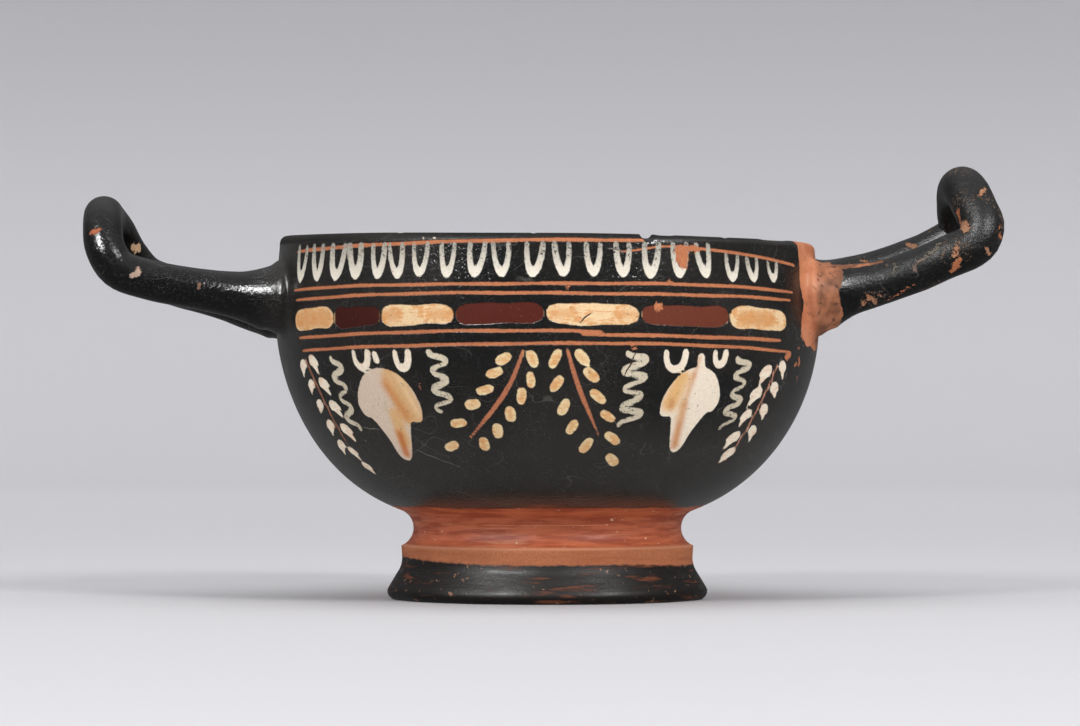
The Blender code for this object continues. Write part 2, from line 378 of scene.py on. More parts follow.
flare = times(coil, calc(coil, "EXPONENT", decay), wanted["Root Flare"])
from_axis = calc(coil, "SQRT", plus(coil, squared(coil, out), squared(coil, at.outputs[1])))
from_wall = minus(coil, from_axis, wanted["Wall Radius"])
web_left = minus(coil, wanted["Root Web"], calc(coil, "MAXIMUM", from_wall, 0.0))
web_left = calc(coil, "MAXIMUM", web_left, 0.0)
chord = calc(coil, "SQRT", minus(coil, squared(coil, wanted["Root Web"]), squared(coil, web_left)))
web = minus(coil, wanted["Root Web"], chord)
kept = put(coil, "GeometryNodeCaptureAttribute", {"Geometry": path.outputs[0]})
kept.capture_items.new("VECTOR", "middle")
kept.capture_items.new("FLOAT", "flare")
kept.capture_items.new("FLOAT", "web")
coil.links.new(put(coil, "GeometryNodeInputPosition").outputs[0], kept.inputs[1])
coil.links.new(flare, kept.inputs[2])
coil.links.new(web, kept.inputs[3])
share = put(coil, "GeometryNodeSplineParameter").outputs["Factor"]
swell = squared(coil, calc(coil, "SINE", times(coil, share, math.pi)))
swell = times(coil, swell, wanted["Arch Swell"])
radius = plus(coil, plus(coil, wanted["Coil Radius"], flare), swell)
ring = put(coil, "GeometryNodeCurvePrimitiveCircle", {"Resolution": wanted["Sides"], "Radius": 1.0})
swept = put(
    coil,
    "GeometryNodeCurveToMesh",
    {"Curve": kept.outputs[0], "Profile Curve": ring.outputs[0], "Scale": radius, "Fill Caps": True},
)
# On top of the coil the flare is its own, and the web rises above it against the wall.
where = put(coil, "GeometryNodeInputPosition").outputs[0]
outwards = put(coil, "ShaderNodeVectorMath", {0: where, 1: kept.outputs[1]}, operation="SUBTRACT")
outwards = put(coil, "ShaderNodeVectorMath", {0: outwards.outputs[0]}, operation="NORMALIZE").outputs[0]
upwards = put(coil, "ShaderNodeSeparateXYZ", {0: outwards}).outputs[2]
top = between(coil, upwards, 0.1, 0.95)
less = times(coil, minus(coil, wanted["Top Flare"], 1.0), kept.outputs[2])
less = times(coil, less, top)
thinner = put(coil, "ShaderNodeVectorMath", {0: outwards, "Scale": less}, operation="SCALE")
raised = put(coil, "ShaderNodeCombineXYZ", {2: times(coil, kept.outputs[3], top)})
# Near the wall each ring bends to follow it.
point = put(coil, "ShaderNodeSeparateXYZ", {0: where})
hub = put(coil, "ShaderNodeSeparateXYZ", {0: kept.outputs[1]})
hub_square = plus(coil, squared(coil, hub.outputs[0]), squared(coil, hub.outputs[1]))
hub_radius = calc(coil, "SQRT", hub_square)
same_radius = calc(coil, "SQRT", minus(coil, hub_square, squared(coil, point.outputs[1])))
same_radius = times(coil, same_radius, calc(coil, "SIGN", hub.outputs[0]))
shift = minus(coil, same_radius, hub.outputs[0])
fade = calc(coil, "DIVIDE", minus(coil, hub_radius, wanted["Wall Radius"]), wanted["Follow Length"])
fade = between(coil, fade, 0.0, 1.0, 1.0, 0.0)
lumps = put(coil, "ShaderNodeTexNoise", {"Scale": 130.0, "Detail": 1.0})
lump = times(coil, minus(coil, lumps.outputs["Fac"], 0.5), wanted["Unevenness"])
straight_out = put(coil, "GeometryNodeInputNormal").outputs[0]
bulge = put(coil, "ShaderNodeVectorMath", {0: straight_out, "Scale": lump}, operation="SCALE")
bend = put(coil, "ShaderNodeCombineXYZ", {0: times(coil, shift, fade)})
offset = bulge
for move in (bend, thinner, raised):
    offset = put(coil, "ShaderNodeVectorMath", {0: offset.outputs[0], 1: move.outputs[0]}, operation="ADD")
shaped = put(coil, "GeometryNodeSetPosition", {"Geometry": swept.outputs[0], "Offset": offset.outputs[0]})
smooth = put(coil, "GeometryNodeSetShadeSmooth", {"Geometry": shaped.outputs[0]})
real = put(coil, "GeometryNodeRealizeInstances", {"Geometry": smooth.outputs[0]})
clad = put(coil, "GeometryNodeSetMaterial", {"Geometry": real.outputs[0], "Material": wanted["Material"]})
coil.links.new(clad.outputs[0], made[0])

for name, side, stations, arch_swell, top_flare in (
    ("left_handle", -1, LEFT_HANDLE, LEFT_ARCH_SWELL, LEFT_TOP_FLARE),
    ("right_handle", 1, RIGHT_HANDLE, RIGHT_ARCH_SWELL, RIGHT_TOP_FLARE),
):
    route = rings_along(smooth_route(stations)) * (side, 1, 1)
    handle = made_by(
        coil,
        line_object(name, route),
        {
            "Coil Radius": COIL_RADIUS * MM,
            "Arch Swell": arch_swell * MM,
            "Root Flare": ROOT_FLARE * MM,
            "Flare Length": ROOT_FLARE_LENGTH * MM,
            "Top Flare": top_flare,
            "Root Web": ROOT_WEB * MM,
            "Wall Radius": SHOULDER[0] * MM,
            "Follow Length": ROOT_FOLLOWS_WALL * MM,
            "Unevenness": COIL_UNEVENNESS * MM,
            "Sides": COIL_SIDES,
            "Material": painted_gloss,
        },
    )
    join = cup.modifiers.new(name, "BOOLEAN")
    join.operation = "UNION"
    join.solver = "EXACT"
    join.object = handle
bpy.context.view_layer.update()
evaluated = cup.evaluated_get(bpy.context.evaluated_depsgraph_get())
cup.data = bpy.data.meshes.new_from_object(evaluated)
cup.modifiers.clear()
for name in ("left_handle", "right_handle"):
    bpy.data.objects.remove(bpy.data.objects[name])


def smoothstep(low, high, value):
    """0 to 1, eased, as the value goes from low to high."""
    t = np.clip((value - low) / (high - low), 0, 1)
    return t * t * (3 - 2 * t)


def vertex_places(obj):
    """The vertices' places in millimetres."""
    places = np.empty(len(obj.data.vertices) * 3, np.float32)
    obj.data.vertices.foreach_get("co", places)
    return places.reshape(-1, 3).astype(float) / MM


def keep_places(obj, places):
    """Puts the vertices where the places in millimetres say."""
    obj.data.vertices.foreach_set("co", (places * MM).astype(np.float32).ravel())
    obj.data.update()


# The potter wiped each joint with a wet finger: the corner between coil and wall is eased round.
SHARP = 0.42  # the angle between two faces, in radians, from which an edge is part of the corner
JOINT_SIDE, JOINT_FOOT, JOINT_TOP, JOINT_OUT = 45.0, 56.0, 80.4, 59.5  # where the corners lie on the cup
EASED_SIDE, EASED_FOOT, EASED_OUT = 42.0, 52.0, 58.8  # and the clay about them that may move
FULLY_EASED, JOINT_REACH = 0.3, 2.4  # the easing fades out between these distances from the corner
JOINT_PASSES, EASING = 36, 0.6  # how often a vertex is drawn to its neighbours' middle, and by what share
places = vertex_places(cup)
shell = bmesh.new()
shell.from_mesh(cup.data)
corner = set()
for edge in shell.edges:
    spot = edge.verts[0].co / MM
    by_handle = abs(spot.x) > JOINT_SIDE and JOINT_FOOT < spot.z < JOINT_TOP
    on_skin = math.hypot(spot.x, spot.y) > JOINT_OUT and len(edge.link_faces) == 2
    if by_handle and on_skin and edge.calc_face_angle(0.0) > SHARP:
        corner.update(vertex.index for vertex in edge.verts)
shell.free()
corner_points = KDTree(len(corner))
for number in corner:
    corner_points.insert(places[number], number)
corner_points.balance()
near_joint = (np.abs(places[:, 0]) > EASED_SIDE) & (places[:, 2] > EASED_FOOT)
near_joint &= np.hypot(places[:, 0], places[:, 1]) > EASED_OUT
ease = np.zeros(len(places))
for number in np.flatnonzero(near_joint):
    ease[number] = 1 - smoothstep(FULLY_EASED, JOINT_REACH, corner_points.find(places[number])[2])
pairs = np.empty(len(cup.data.edges) * 2, np.int32)
cup.data.edges.foreach_get("vertices", pairs)
pairs = pairs.reshape(-1, 2)
pairs = pairs[(ease[pairs] > 0).any(axis=1)]
neighbours = np.maximum(np.bincount(pairs.ravel(), minlength=len(places)), 1)
for step in range(JOINT_PASSES):
    for axis in range(3):
        total = np.bincount(pairs[:, 0], places[pairs[:, 1], axis], len(places))
        total += np.bincount(pairs[:, 1], places[pairs[:, 0], axis], len(places))
        places[:, axis] += np.where(ease > 0, EASING * ease * (total / neighbours - places[:, axis]), 0.0)
keep_places(cup, places)

# ------------------------------------------------------------------------------------------------------------
# The finished form: drying and firing left the rim a little lower at the right handle and the wall not quite
# round, and use has nicked the rim. These are small moves of the joined clay.
# ------------------------------------------------------------------------------------------------------------
RIM_DIP = 0.0135  # how far the rim falls for each millimetre towards the right handle
RIM_LOW = 0.12  # and how far all of it has sunk
DIP_HEIGHTS = (22.0, 60.0)  # the foot stays level, and the wall takes the dip up between these heights
HANDLES_KEEP = (62.5, 72.0)  # the handles are left as they are from this far out
LIP_BAND = (79.0, 81.5)
RIM_NICKS = (  # turn from the front towards the right handle in degrees, width and depth in millimetres
    (21.0, 3.0, 0.9),
    (25.5, 5.0, 0.15),
    (-3.0, 1.2, 0.15),
    (41.0, 1.6, 0.2),
    (58.0, 13.0, 0.2),
    (-33.0, 1.4, 0.12),
    (-128.0, 3.0, 0.4),
    (163.0, 2.0, 0.3),
)

distance_out = np.hypot(places[:, 0], places[:, 1])
turn_now = np.degrees(np.arctan2(places[:, 0], -places[:, 1]))
bowl_share = smoothstep(*DIP_HEIGHTS, places[:, 2]) * (1 - smoothstep(*HANDLES_KEEP, distance_out))
places[:, 2] -= bowl_share * (RIM_LOW + RIM_DIP * places[:, 0])
# Round the lip the height wavers by a tenth of a millimetre, in three long and seven short swings.
waver = 0.10 * np.sin(np.radians(3 * turn_now + 40))
waver += 0.05 * np.sin(np.radians(7 * turn_now + 200) + places[:, 2] / 9)
lip_share = smoothstep(*LIP_BAND, places[:, 2]) * (distance_out < LIP_RADIUS + 1)
places[:, 2] += lip_share * waver
for nick_turn, width, depth in RIM_NICKS:
    across = np.radians((turn_now - nick_turn + 180) % 360 - 180) * LIP_RADIUS / (width / 2)
    places[:, 2] -= lip_share * depth * np.clip(1 - across**4, 0, 1)
keep_places(cup, places)

# ------------------------------------------------------------------------------------------------------------
# The painter's ornament: lines scraped through the gloss to the clay, and thick white, cream and dark red
# slip laid over it. Each motif is a small shape in flat millimetres, right and up, that is laid on the wall
# about a place: its turn from the front towards the right handle in degrees, and its height in millimetres.
# ------------------------------------------------------------------------------------------------------------
OVER_RIM = 3.0  # the wall is measured on upwards by so much, so that a line by the rim keeps its width
over_rim = [(outer_wall[0, 0], outer_wall[0, 1] + OVER_RIM)]
wall_line = np.vstack((outer_wall[::-1], over_rim))
wall_heights, wall_radii = wall_line[:, 1], wall_line[:, 0]
wall_lengths = np.concatenate(([0.0], np.cumsum(np.linalg.norm(np.diff(wall_line, axis=0), axis=1))))
FAR = -3.0  # the value far from any stroke, in millimetres
rng = np.random.default_rng(7)


def linear(red, green, blue):
    """A colour's linear values from its everyday ones, 0 to 255."""
    share = np.array((red, green, blue)) / 255
    return np.where(share <= 0.04045, share / 12.92, ((share + 0.055) / 1.055) ** 2.4)


def on_wall(points):
    """Places in space for (turn, height) on the outer wall."""
    points = np.array(points, float).reshape(-1, 2)
    radius = np.interp(points[:, 1], wall_heights, wall_radii)
    angle = np.radians(points[:, 0])
    return np.stack((radius * np.sin(angle), -radius * np.cos(angle), points[:, 1]), axis=1)


def laid(shape, place, lean=0.0):
    """The turns and heights of a flat shape, leant over in degrees and laid on the wall about a place."""
    shape = np.asarray(shape, float)
    across, along = math.cos(math.radians(lean)), math.sin(math.radians(lean))
    right = shape[:, 0] * across - shape[:, 1] * along
    up = shape[:, 0] * along + shape[:, 1] * across
    heights = np.interp(np.interp(place[1], wall_heights, wall_lengths) + up, wall_lengths, wall_heights)
    turns = place[0] + np.degrees(right / np.interp(heights, wall_heights, wall_radii))
    return np.stack((turns, heights), axis=1)


def laid_facing(shape, place):
    """The same for a shape that keeps its outline as seen from straight in front of the cup."""
    heights = place[1] + shape[:, 1]
    out = np.interp(place[1], wall_heights, wall_radii) * math.sin(math.radians(place[0])) + shape[:, 0]
    turns = np.degrees(np.arcsin(out / np.interp(heights, wall_heights, wall_radii)))
    return np.stack((turns, heights), axis=1)


def unrolled(turns, heights, centre):
    """Flat millimetres across and up the wall near a centre."""
    radius = np.interp(heights, wall_heights, wall_radii)
    up = np.interp(heights, wall_heights, wall_lengths) - np.interp(centre[1], wall_heights, wall_lengths)
    return np.stack((np.radians(turns - centre[0]) * radius, up), axis=1)


def circle_round(count):
    """So many angles round a circle."""
    return np.linspace(0, 2 * math.pi, count, endpoint=False)


def uneven(count, size):
    """How far a hand strays from even along a closed outline of so many points."""
    around = circle_round(count)
    return sum(size / math.sqrt(k) * np.sin(k * around + rng.uniform(0, 6.3)) for k in (2, 3, 5, 8)) / 1.8


wall_at_height = np.interp(places[:, 2], wall_heights, wall_radii)
SKIN, OUTSIDE_FROM = 1.0, 20.0  # the outside lies within so much of the even wall, and above this height
outer = (np.abs(distance_out - wall_at_height) < SKIN) & (places[:, 2] > OUTSIDE_FROM)


def wall_near(outline, margin):
    """The wall's vertices near an outline or run, and both unrolled flat about its centre."""
    outline = np.array(outline, float)
    centre = (outline.min(0) + outline.max(0)) / 2
    turns = (turn_now - centre[0] + 180) % 360 - 180 + centre[0]
    near = np.flatnonzero(
        (np.abs(turns - centre[0]) < np.ptp(outline[:, 0]) / 2 + margin * 1.6)
        & (np.abs(places[:, 2] - centre[1]) < np.ptp(outline[:, 1]) / 2 + margin)
        & outer
    )
    flat = unrolled(outline[:, 0], outline[:, 1], centre)
    return near, unrolled(turns[near], places[near, 2], centre), flat


def save_values(name, values):
    """Keeps one value for every vertex of the cup, for the materials to read."""
    kept = cup.data.attributes.new(name, "FLOAT", "POINT")
    kept.data.foreach_set("value", np.asarray(values).astype(np.float32))


def along_run(values, count):
    """The values drawn out evenly to so many along a run."""
    return np.interp(np.linspace(0, 1, count), np.linspace(0, 1, len(values)), values)


class Coat:
    """A layer of colour: for every vertex, the depth inside its strokes, its colour, stain and thinness."""

    def __init__(self):
        self.depth = np.full(len(places), FAR)
        self.tint = np.zeros((len(places), 4))
        self.thin = np.zeros(len(places))

    def along(self, line, half_widths):
        """Depth inside a tapering run for the vertices near it, and their share of the way along."""
        half_widths = along_run(half_widths, len(line))
        reach = half_widths.max() - FAR / 2
        near = np.flatnonzero(np.all((places > line.min(0) - reach) & (places < line.max(0) + reach), axis=1))
        spot = places[near]
        best = np.full(len(near), FAR)
        share = np.zeros(len(near))
        for i in range(len(line) - 1):
            run = line[i + 1] - line[i]
            t = np.clip((spot - line[i]) @ run / max(run @ run, 1e-9), 0, 1)
            depth = half_widths[i] * (1 - t) + half_widths[i + 1] * t
            depth = depth - np.linalg.norm(spot - line[i] - t[:, None] * run, axis=1)
            better = depth > best
            best[better] = depth[better]
            share[better] = (i + t[better]) / (len(line) - 1)
        return near, best, share

    def stroke(self, line, half_widths, start, end=None, stain=0.0, thin=(0.0, 0.0)):
        """A tapering stroke along places in space. Its colour and thickness change from start to end."""
        end = start if end is None else end
        near, depth, share = self.along(line, half_widths)
        over = depth > self.depth[near]
        near, share = near[over], share[over]
        self.depth[near] = depth[over]
        self.tint[near, :3] = start * (1 - share[:, None]) + end * share[:, None]
        self.tint[near, 3] = stain
        self.thin[near] = thin[0] * (1 - share) + thin[1] * share

    def patch(self, outline, tint, stain=0.0, thin=0.0):
        """A filled shape with its outline on the wall."""
        near, spot, flat = wall_near(outline, -FAR)
        gap = np.full(len(near), 99.0)
        within = np.zeros(len(near), bool)
        for a, b in zip(flat, np.roll(flat, -1, axis=0)):
            run = b - a
            t = np.clip((spot - a) @ run / max(run @ run, 1e-9), 0, 1)
            gap = np.minimum(gap, np.linalg.norm(spot - a - t[:, None] * run, axis=1))
            crosses = (a[1] > spot[:, 1]) != (b[1] > spot[:, 1])
            with np.errstate(divide="ignore", invalid="ignore"):
                meets = a[0] + (spot[:, 1] - a[1]) * run[0] / run[1]
            within ^= crosses & (spot[:, 0] < meets)
        depth = np.maximum(np.where(within, gap, -gap), FAR)
        over = depth > self.depth[near]
        self.depth[near[over]] = depth[over]
        self.tint[near[over], :3] = tint
        self.tint[near[over], 3] = stain
        self.thin[near[over]] = thin

    def tinge(self, run, half_width, tint, strength=0.7, softness=0.8):
        """Colour rubbed softly into what is already painted, along a run of places on the wall."""
        near, depth, share = self.along(on_wall(run), (half_width,))
        share = (strength * smoothstep(-softness, softness, depth))[:, None]
        self.tint[near, :3] = self.tint[near, :3] * (1 - share) + tint * share

    def save(self, name):
        """Keeps the layer on the cup under a name."""
        save_values(name, np.maximum(self.depth, FAR))
        if self.tint.any():
            tint = cup.data.attributes.new(name + "_tint", "FLOAT_COLOR", "POINT")
            tint.data.foreach_set("color", self.tint.astype(np.float32).ravel())
            save_values(name + "_thin", self.thin)


class Hairlines:
    """Lines finer than the mesh. A vertex near one keeps its distance to either side and the half-width."""

    CLOSE = 1.3  # how near, in millimetres

    def __init__(self):
        self.offset = np.zeros(len(places))
        self.reach = np.full(len(places), FAR)

    def add(self, line, half_widths):
        """One more line through (turn, height) places, with its half-widths from start to end."""
        near, spot, flat = wall_near(line, -FAR)
        widths = along_run(half_widths, len(flat))
        best = np.full(len(near), 99.0)
        side, reach = np.zeros(len(near)), np.full(len(near), FAR)
        for i in range(len(flat) - 1):
            run = flat[i + 1] - flat[i]
            length = max(np.linalg.norm(run), 1e-6)
            t = (spot - flat[i]) @ run / length**2
            kept = np.clip(t, 0, 1)
            away = spot - flat[i]
            gap = np.linalg.norm(away - kept[:, None] * run, axis=1)
            beyond = np.zeros(len(near))
            if i == 0:
                beyond = np.maximum(-t * length, 0)
            if i == len(flat) - 2:
                beyond = np.maximum((t - 1) * length, 0)
            better = gap < best
            best[better] = gap[better]
            side[better] = ((run[0] * away[:, 1] - run[1] * away[:, 0]) / length)[better]
            reach[better] = (widths[i] * (1 - kept) + widths[i + 1] * kept - beyond)[better]
        take = (best < self.CLOSE) & (reach - np.abs(side) > self.reach[near] - np.abs(self.offset[near]))
        self.offset[near[take]] = side[take]
        self.reach[near[take]] = reach[take]

    def save(self, name):
        """Keeps the lines on the cup under a name."""
        save_values(name + "_offset", self.offset)
        save_values(name + "_reach", self.reach)


paint = Coat()
CLAY = linear(198, 124, 84)
CREAM = linear(240, 208, 162)
BAR_ORANGE = linear(216, 150, 88)
DARK_REDS = (linear(66, 16, 4), linear(87, 27, 10), linear(110, 52, 34))
CHALK = linear(220, 208, 182)
LEAF_WHITE = linear(248, 234, 211)
LEAF_PINK = linear(220, 200, 178)
LEAF_ORANGE = linear(210, 134, 70)
DEEP_ORANGE = linear(190, 104, 56)

# The lines: each was drawn freehand by a tool held to the turning cup, so it sags a little towards the
# handles. A line has its height in front, and how much lower it is at the left and at the right handle.
RIM_LINE, TONGUE_LINE, BAR_LINE = (80.3, 1.8, 1.0), (71.0, 1.1, 1.7), (68.9, 1.1, 1.6)
UNDER_BARS, FIGURE_LINE = (60.6, 1.3, 2.0), (57.9, 1.8, 1.9)
FRONT_HALF = 66.0  # the front's ornament runs this many degrees to each side
LINE_HALF_WIDTH = 0.39
STRONG_HALF_WIDTH = 0.42


def line_height(line, at_turn):
    """How high a line runs at a turn."""
    middle, left, right = line
    out = np.abs(at_turn) / FRONT_HALF
    return middle - np.where(at_turn < 0, left, right) * out**2.2


def scrape(lines, line, start, end, half_width=LINE_HALF_WIDTH):
    """A line scraped from one turn to another, strong in the middle and lifted off at both ends."""
    turns = np.linspace(start, end, 60)
    strays = 0.12 * np.sin(np.radians(turns * 4.1 + line[0] * 50))
    strays += 0.05 * np.sin(np.radians(turns * 17 + line[0]))
    lifted = 1 - 0.3 * np.linspace(-1, 1, 60) ** 10
    widths = half_width * (1 + 0.08 * np.sin(np.radians(turns * 23))) * lifted
    lines.add(np.stack((turns, line_height(line, turns) + strays), axis=1), widths)


# Lines that run close together are kept in different sets, so that no vertex has to remember two of them.
wide_lines, near_lines = Hairlines(), Hairlines()
LINE_SLIPS = 11.0  # here the tool slipped, and the line under the bars was begun again a little lower
RIM_LINE_END = 20.0  # and here the rim line gives way to a second one, which falls away towards the handle
scrape(wide_lines, RIM_LINE, -FRONT_HALF, RIM_LINE_END, STRONG_HALF_WIDTH)
scrape(near_lines, TONGUE_LINE, -FRONT_HALF, 62)
scrape(wide_lines, BAR_LINE, -65, 61)
scrape(near_lines, UNDER_BARS, -64, LINE_SLIPS)
scrape(near_lines, (UNDER_BARS[0] - 0.8, 0.0, 1.4), LINE_SLIPS - 4, 57, STRONG_HALF_WIDTH)
scrape(wide_lines, FIGURE_LINE, -63, 62)
SECOND_LINE = 79.1  # how high the second line runs before it falls
SECOND_RISE, SECOND_DROP = 1.2, 3.6  # how much lower it starts, and how much lower it ends
SECOND_START, SECOND_LEVEL, SECOND_FALLS, SECOND_END = 15, 25, 27, 64  # the turns where it changes


def second_fall(at_turn):
    """How far the second line has fallen at a turn."""
    return SECOND_DROP * (np.maximum(at_turn - SECOND_FALLS, 0) / (SECOND_END - SECOND_FALLS)) ** 1.25


second_turns = np.linspace(SECOND_START, SECOND_END, 40)
second_heights = SECOND_LINE - SECOND_RISE * smoothstep(SECOND_LEVEL, SECOND_START, second_turns)
second_heights -= second_fall(second_turns)
near_lines.add(np.stack((second_turns, second_heights), axis=1), (0.2, 0.3, 0.36, 0.36, 0.32))

# The tongues: loops of two arms that hang from the rim line and meet in a rounded tip, worn thin at the top.
TONGUE_TOP, TONGUE_TIP = linear(170, 166, 154), linear(242, 234, 216)
TONGUES = 20
TONGUES_FROM, TONGUES_TO = -63.5, 54.5
TONGUES_CROWD = 2.0  # by so many degrees the middle ones are drawn towards the left handle
TONGUES_GAP, GAP_SHARE = 2.1, 0.32  # and those in this first share of the row the other way
TONGUE_SPREAD = 1.65  # from the tip to an arm, in millimetres
TONGUE_HALF_WIDTH = 0.62
ARMS_END = 0.85  # the arms' middle lines meet this far above the tip
ARM_TOP = 79.6  # how high the arms start, and under the second line they start lower by UNDER_SECOND
UNDER_SECOND, UNDER_SECOND_FROM = 0.6, 38


def tongue(at_turn, tip_height, length, half_width, spread=TONGUE_SPREAD):
    """One loop: its two arms draw together as they come down, and meet in the tip."""
    down = np.linspace(0, 1, 12)
    lean = rng.uniform(-0.6, 0.6)
    for side in (-1, 1):
        across = side * spread * rng.uniform(0.85, 1.1) * (1 - down**2.2) ** 0.66 + lean * (1 - down)
        arm = np.stack((across, length * (1 - down)), axis=1)
        width = half_width * rng.uniform(0.85, 1.12)
        line = on_wall(laid(arm, (at_turn, tip_height + ARMS_END)))
        widths = (width * 0.9, width, width * 1.1, 0.85)
        paint.stroke(line, widths, TONGUE_TOP, TONGUE_TIP, 0.08, (0.36, 0.02))


for share in np.linspace(0, 1, TONGUES):
    crowding = TONGUES_CROWD * math.sin(math.pi * share**1.7)
    strayed = TONGUES_FROM + (TONGUES_TO - TONGUES_FROM) * share - crowding
    strayed += TONGUES_GAP * math.sin(math.pi * min(share / GAP_SHARE, 1)) + rng.uniform(-0.3, 0.3)
    tip = line_height(TONGUE_LINE, strayed) + 1.3 + rng.uniform(-0.25, 0.35)
    top = SECOND_LINE - second_fall(strayed) - UNDER_SECOND if strayed > UNDER_SECOND_FROM else ARM_TOP
    near_handle = smoothstep(-25, -60, strayed)  # towards the left handle they are drawn broader
    half_width = TONGUE_HALF_WIDTH + 0.26 * near_handle + 0.05 * math.sin(strayed)
    tongue(strayed, tip, top - tip - ARMS_END, half_width, TONGUE_SPREAD * (1 + 0.25 * near_handle))

# The bars, alternately cream and dark red, laid with a loaded brush so that their edges waver.
BAR_MEETINGS = (-65.5, -49.5, -36.0, -19.0, -0.5, 19.0, 40.0, 59.0)
BAR_TOP_GAP, BAR_FOOT_GAP = 2.3, 1.5


def rounded_box(around, squareness):
    """How far out a box with round corners reaches each way, as a share of its half-width."""
    sides = np.abs(np.cos(around)) ** squareness + np.abs(np.sin(around)) ** squareness
    return 1 / sides ** (1 / squareness)


def bar(start, end, tint, stain, thin):
    """One bar between two turns: level edges that waver, and round ends."""
    around = circle_round(48)
    rounded = rounded_box(around, 12)
    middle, half = (start + end) / 2, (end - start) / 2 - 0.25
    turns = middle + half * rounded * np.cos(around)
    top, foot = line_height(BAR_LINE, turns) - BAR_TOP_GAP, line_height(UNDER_BARS, turns) + BAR_FOOT_GAP
    heights = (top + foot) / 2 + (top - foot) / 2 * np.clip(rounded * np.sin(around), -1, 1)
    heights = heights + uneven(48, 0.42)
    corner = 1.3 * np.clip(np.abs(turns - middle) / half, 0, 1) ** 14
    paint.patch(np.stack((turns, heights - np.sign(np.sin(around)) * corner), axis=1), tint, stain, thin)


for number, (start, end) in enumerate(zip(BAR_MEETINGS, BAR_MEETINGS[1:])):
    if number % 2:
        bar(start, end, DARK_REDS[number // 2], 0.0, 0.06)
    else:
        bar(start, end, CREAM, 0.8, 0.0)
# Ochre worked into the cream: along the whole of the first bar, at the heart of the last, in touches between.
OCHRE_BELOW_LINE = 4.6
OCHRE_TOUCHES = (  # from one turn to another, half-width in millimetres, strength
    (-63, -52, 2.0, 0.75),
    (-35, -32, 1.2, 0.7),
    (-24, -20, 1.0, 0.7),
    (1, 5, 1.0, 0.6),
    (14, 18, 0.8, 0.6),
    (44, 53, 1.6, 0.8),
)
for start, end, half_width, strength in OCHRE_TOUCHES:
    turns = np.linspace(start, end, 8)
    run = np.stack((turns, line_height(BAR_LINE, turns) - OCHRE_BELOW_LINE), axis=1)
    paint.tinge(run, half_width, BAR_ORANGE, strength)

# The two berry sprigs in the middle. Each has one curved stem, and berries that open from both of its sides.
STEM = linear(184, 114, 82)
BERRY, BERRY_WARM = linear(238, 214, 166), linear(218, 152, 84)
STEM_BEYOND = 1.3  # a stem's course is worked out a little past its foot, where the last berries hang
OVAL = 2.6  # 2 would be an ellipse, and more is squarer


def stem_run(top, foot, bow, steps=30):
    """A stem's course from its top through its foot, bowed sideways by so many degrees of turn."""
    share = np.linspace(0, STEM_BEYOND, steps)[:, None]
    straight = np.array(top) * (1 - share) + np.array(foot) * share
    return straight + np.array((bow, 0.0)) * np.sin(math.pi * share)


def berry(place, length, width, lean, warmth):
    """A berry dabbed with one touch: an uneven oval, creamy at its rim and warmer at its heart."""
    around = circle_round(22)
    sides = np.abs(np.cos(around)) ** OVAL + np.abs(np.sin(around)) ** OVAL
    size = (1 + uneven(22, 0.07)) / sides ** (1 / OVAL)
    shape = np.stack((length / 2 * size * np.cos(around), width / 2 * size * np.sin(around)), axis=1)
    paint.patch(laid(shape, place, lean), BERRY, 0.7)
    heart = np.array(((-0.22, 0.0), (0.22, rng.uniform(-0.1, 0.1)))) * length
    paint.tinge(laid(heart, place, lean), width * 0.2, BERRY_WARM, warmth, 0.45)


def berry_sprig(top, foot, bow, rows, length, width, half_widths):
    """A stem and its rows of berries. A row has its side, how many berries, the shares of the stem where it
    starts and ends, how far a berry's middle is from the stem, and the berries' angle from it."""
    stem = stem_run(top, foot, bow)
    paint.stroke(on_wall(stem[stem[:, 1] > foot[1]]), half_widths, STEM, STEM, 0.25, (0.2, 0.1))
    flat = unrolled(stem[:, 0], stem[:, 1], stem[0])
    heading = np.degrees(np.arctan2(*np.gradient(flat, axis=0).T[::-1]))
    for side, count, first, last, gap, opening in rows:
        for share in np.linspace(first, last, count) + rng.uniform(-0.015, 0.015, count):
            at = share / STEM_BEYOND * (len(stem) - 1)
            where = np.array([np.interp(at, range(len(stem)), stem[:, k]) for k in (0, 1)])
            turned = np.interp(at, range(len(stem)), heading)
            over = math.radians(turned + 90 * side)
            beside = gap * rng.uniform(0.94, 1.06) * (1 - 0.7 * smoothstep(0.85, 1.35, share))
            beside *= 1 - 0.3 * smoothstep(0.3, 0.0, share)
            shape = np.array([(beside * math.cos(over), beside * math.sin(over))])
            size = rng.uniform(0.92, 1.06)
            lean = turned - (180 - opening) * side + rng.uniform(-7, 7)
            broad = width * rng.uniform(0.9, 1.12)
            berry(laid(shape, where)[0], length * size, broad, lean, rng.uniform(0.25, 0.8))


LEFT_ROWS = ((1, 6, 0.05, 0.98, 3.6, 34), (-1, 6, 0.16, 1.12, 4.2, 38))
RIGHT_ROWS = ((1, 6, 0.12, 1.28, 3.3, 33), (-1, 5, 0.06, 1.06, 4.4, 48))
berry_sprig((-5.0, 56.2), (-18.5, 37.0), 2.3, LEFT_ROWS, 4.0, 2.2, (0.36, 0.46, 0.56, 0.48, 0.26))
berry_sprig((4.0, 56.5), (12.0, 37.5), -0.9, RIGHT_ROWS, 4.25, 2.25, (0.38, 0.5, 0.54, 0.42, 0.12))

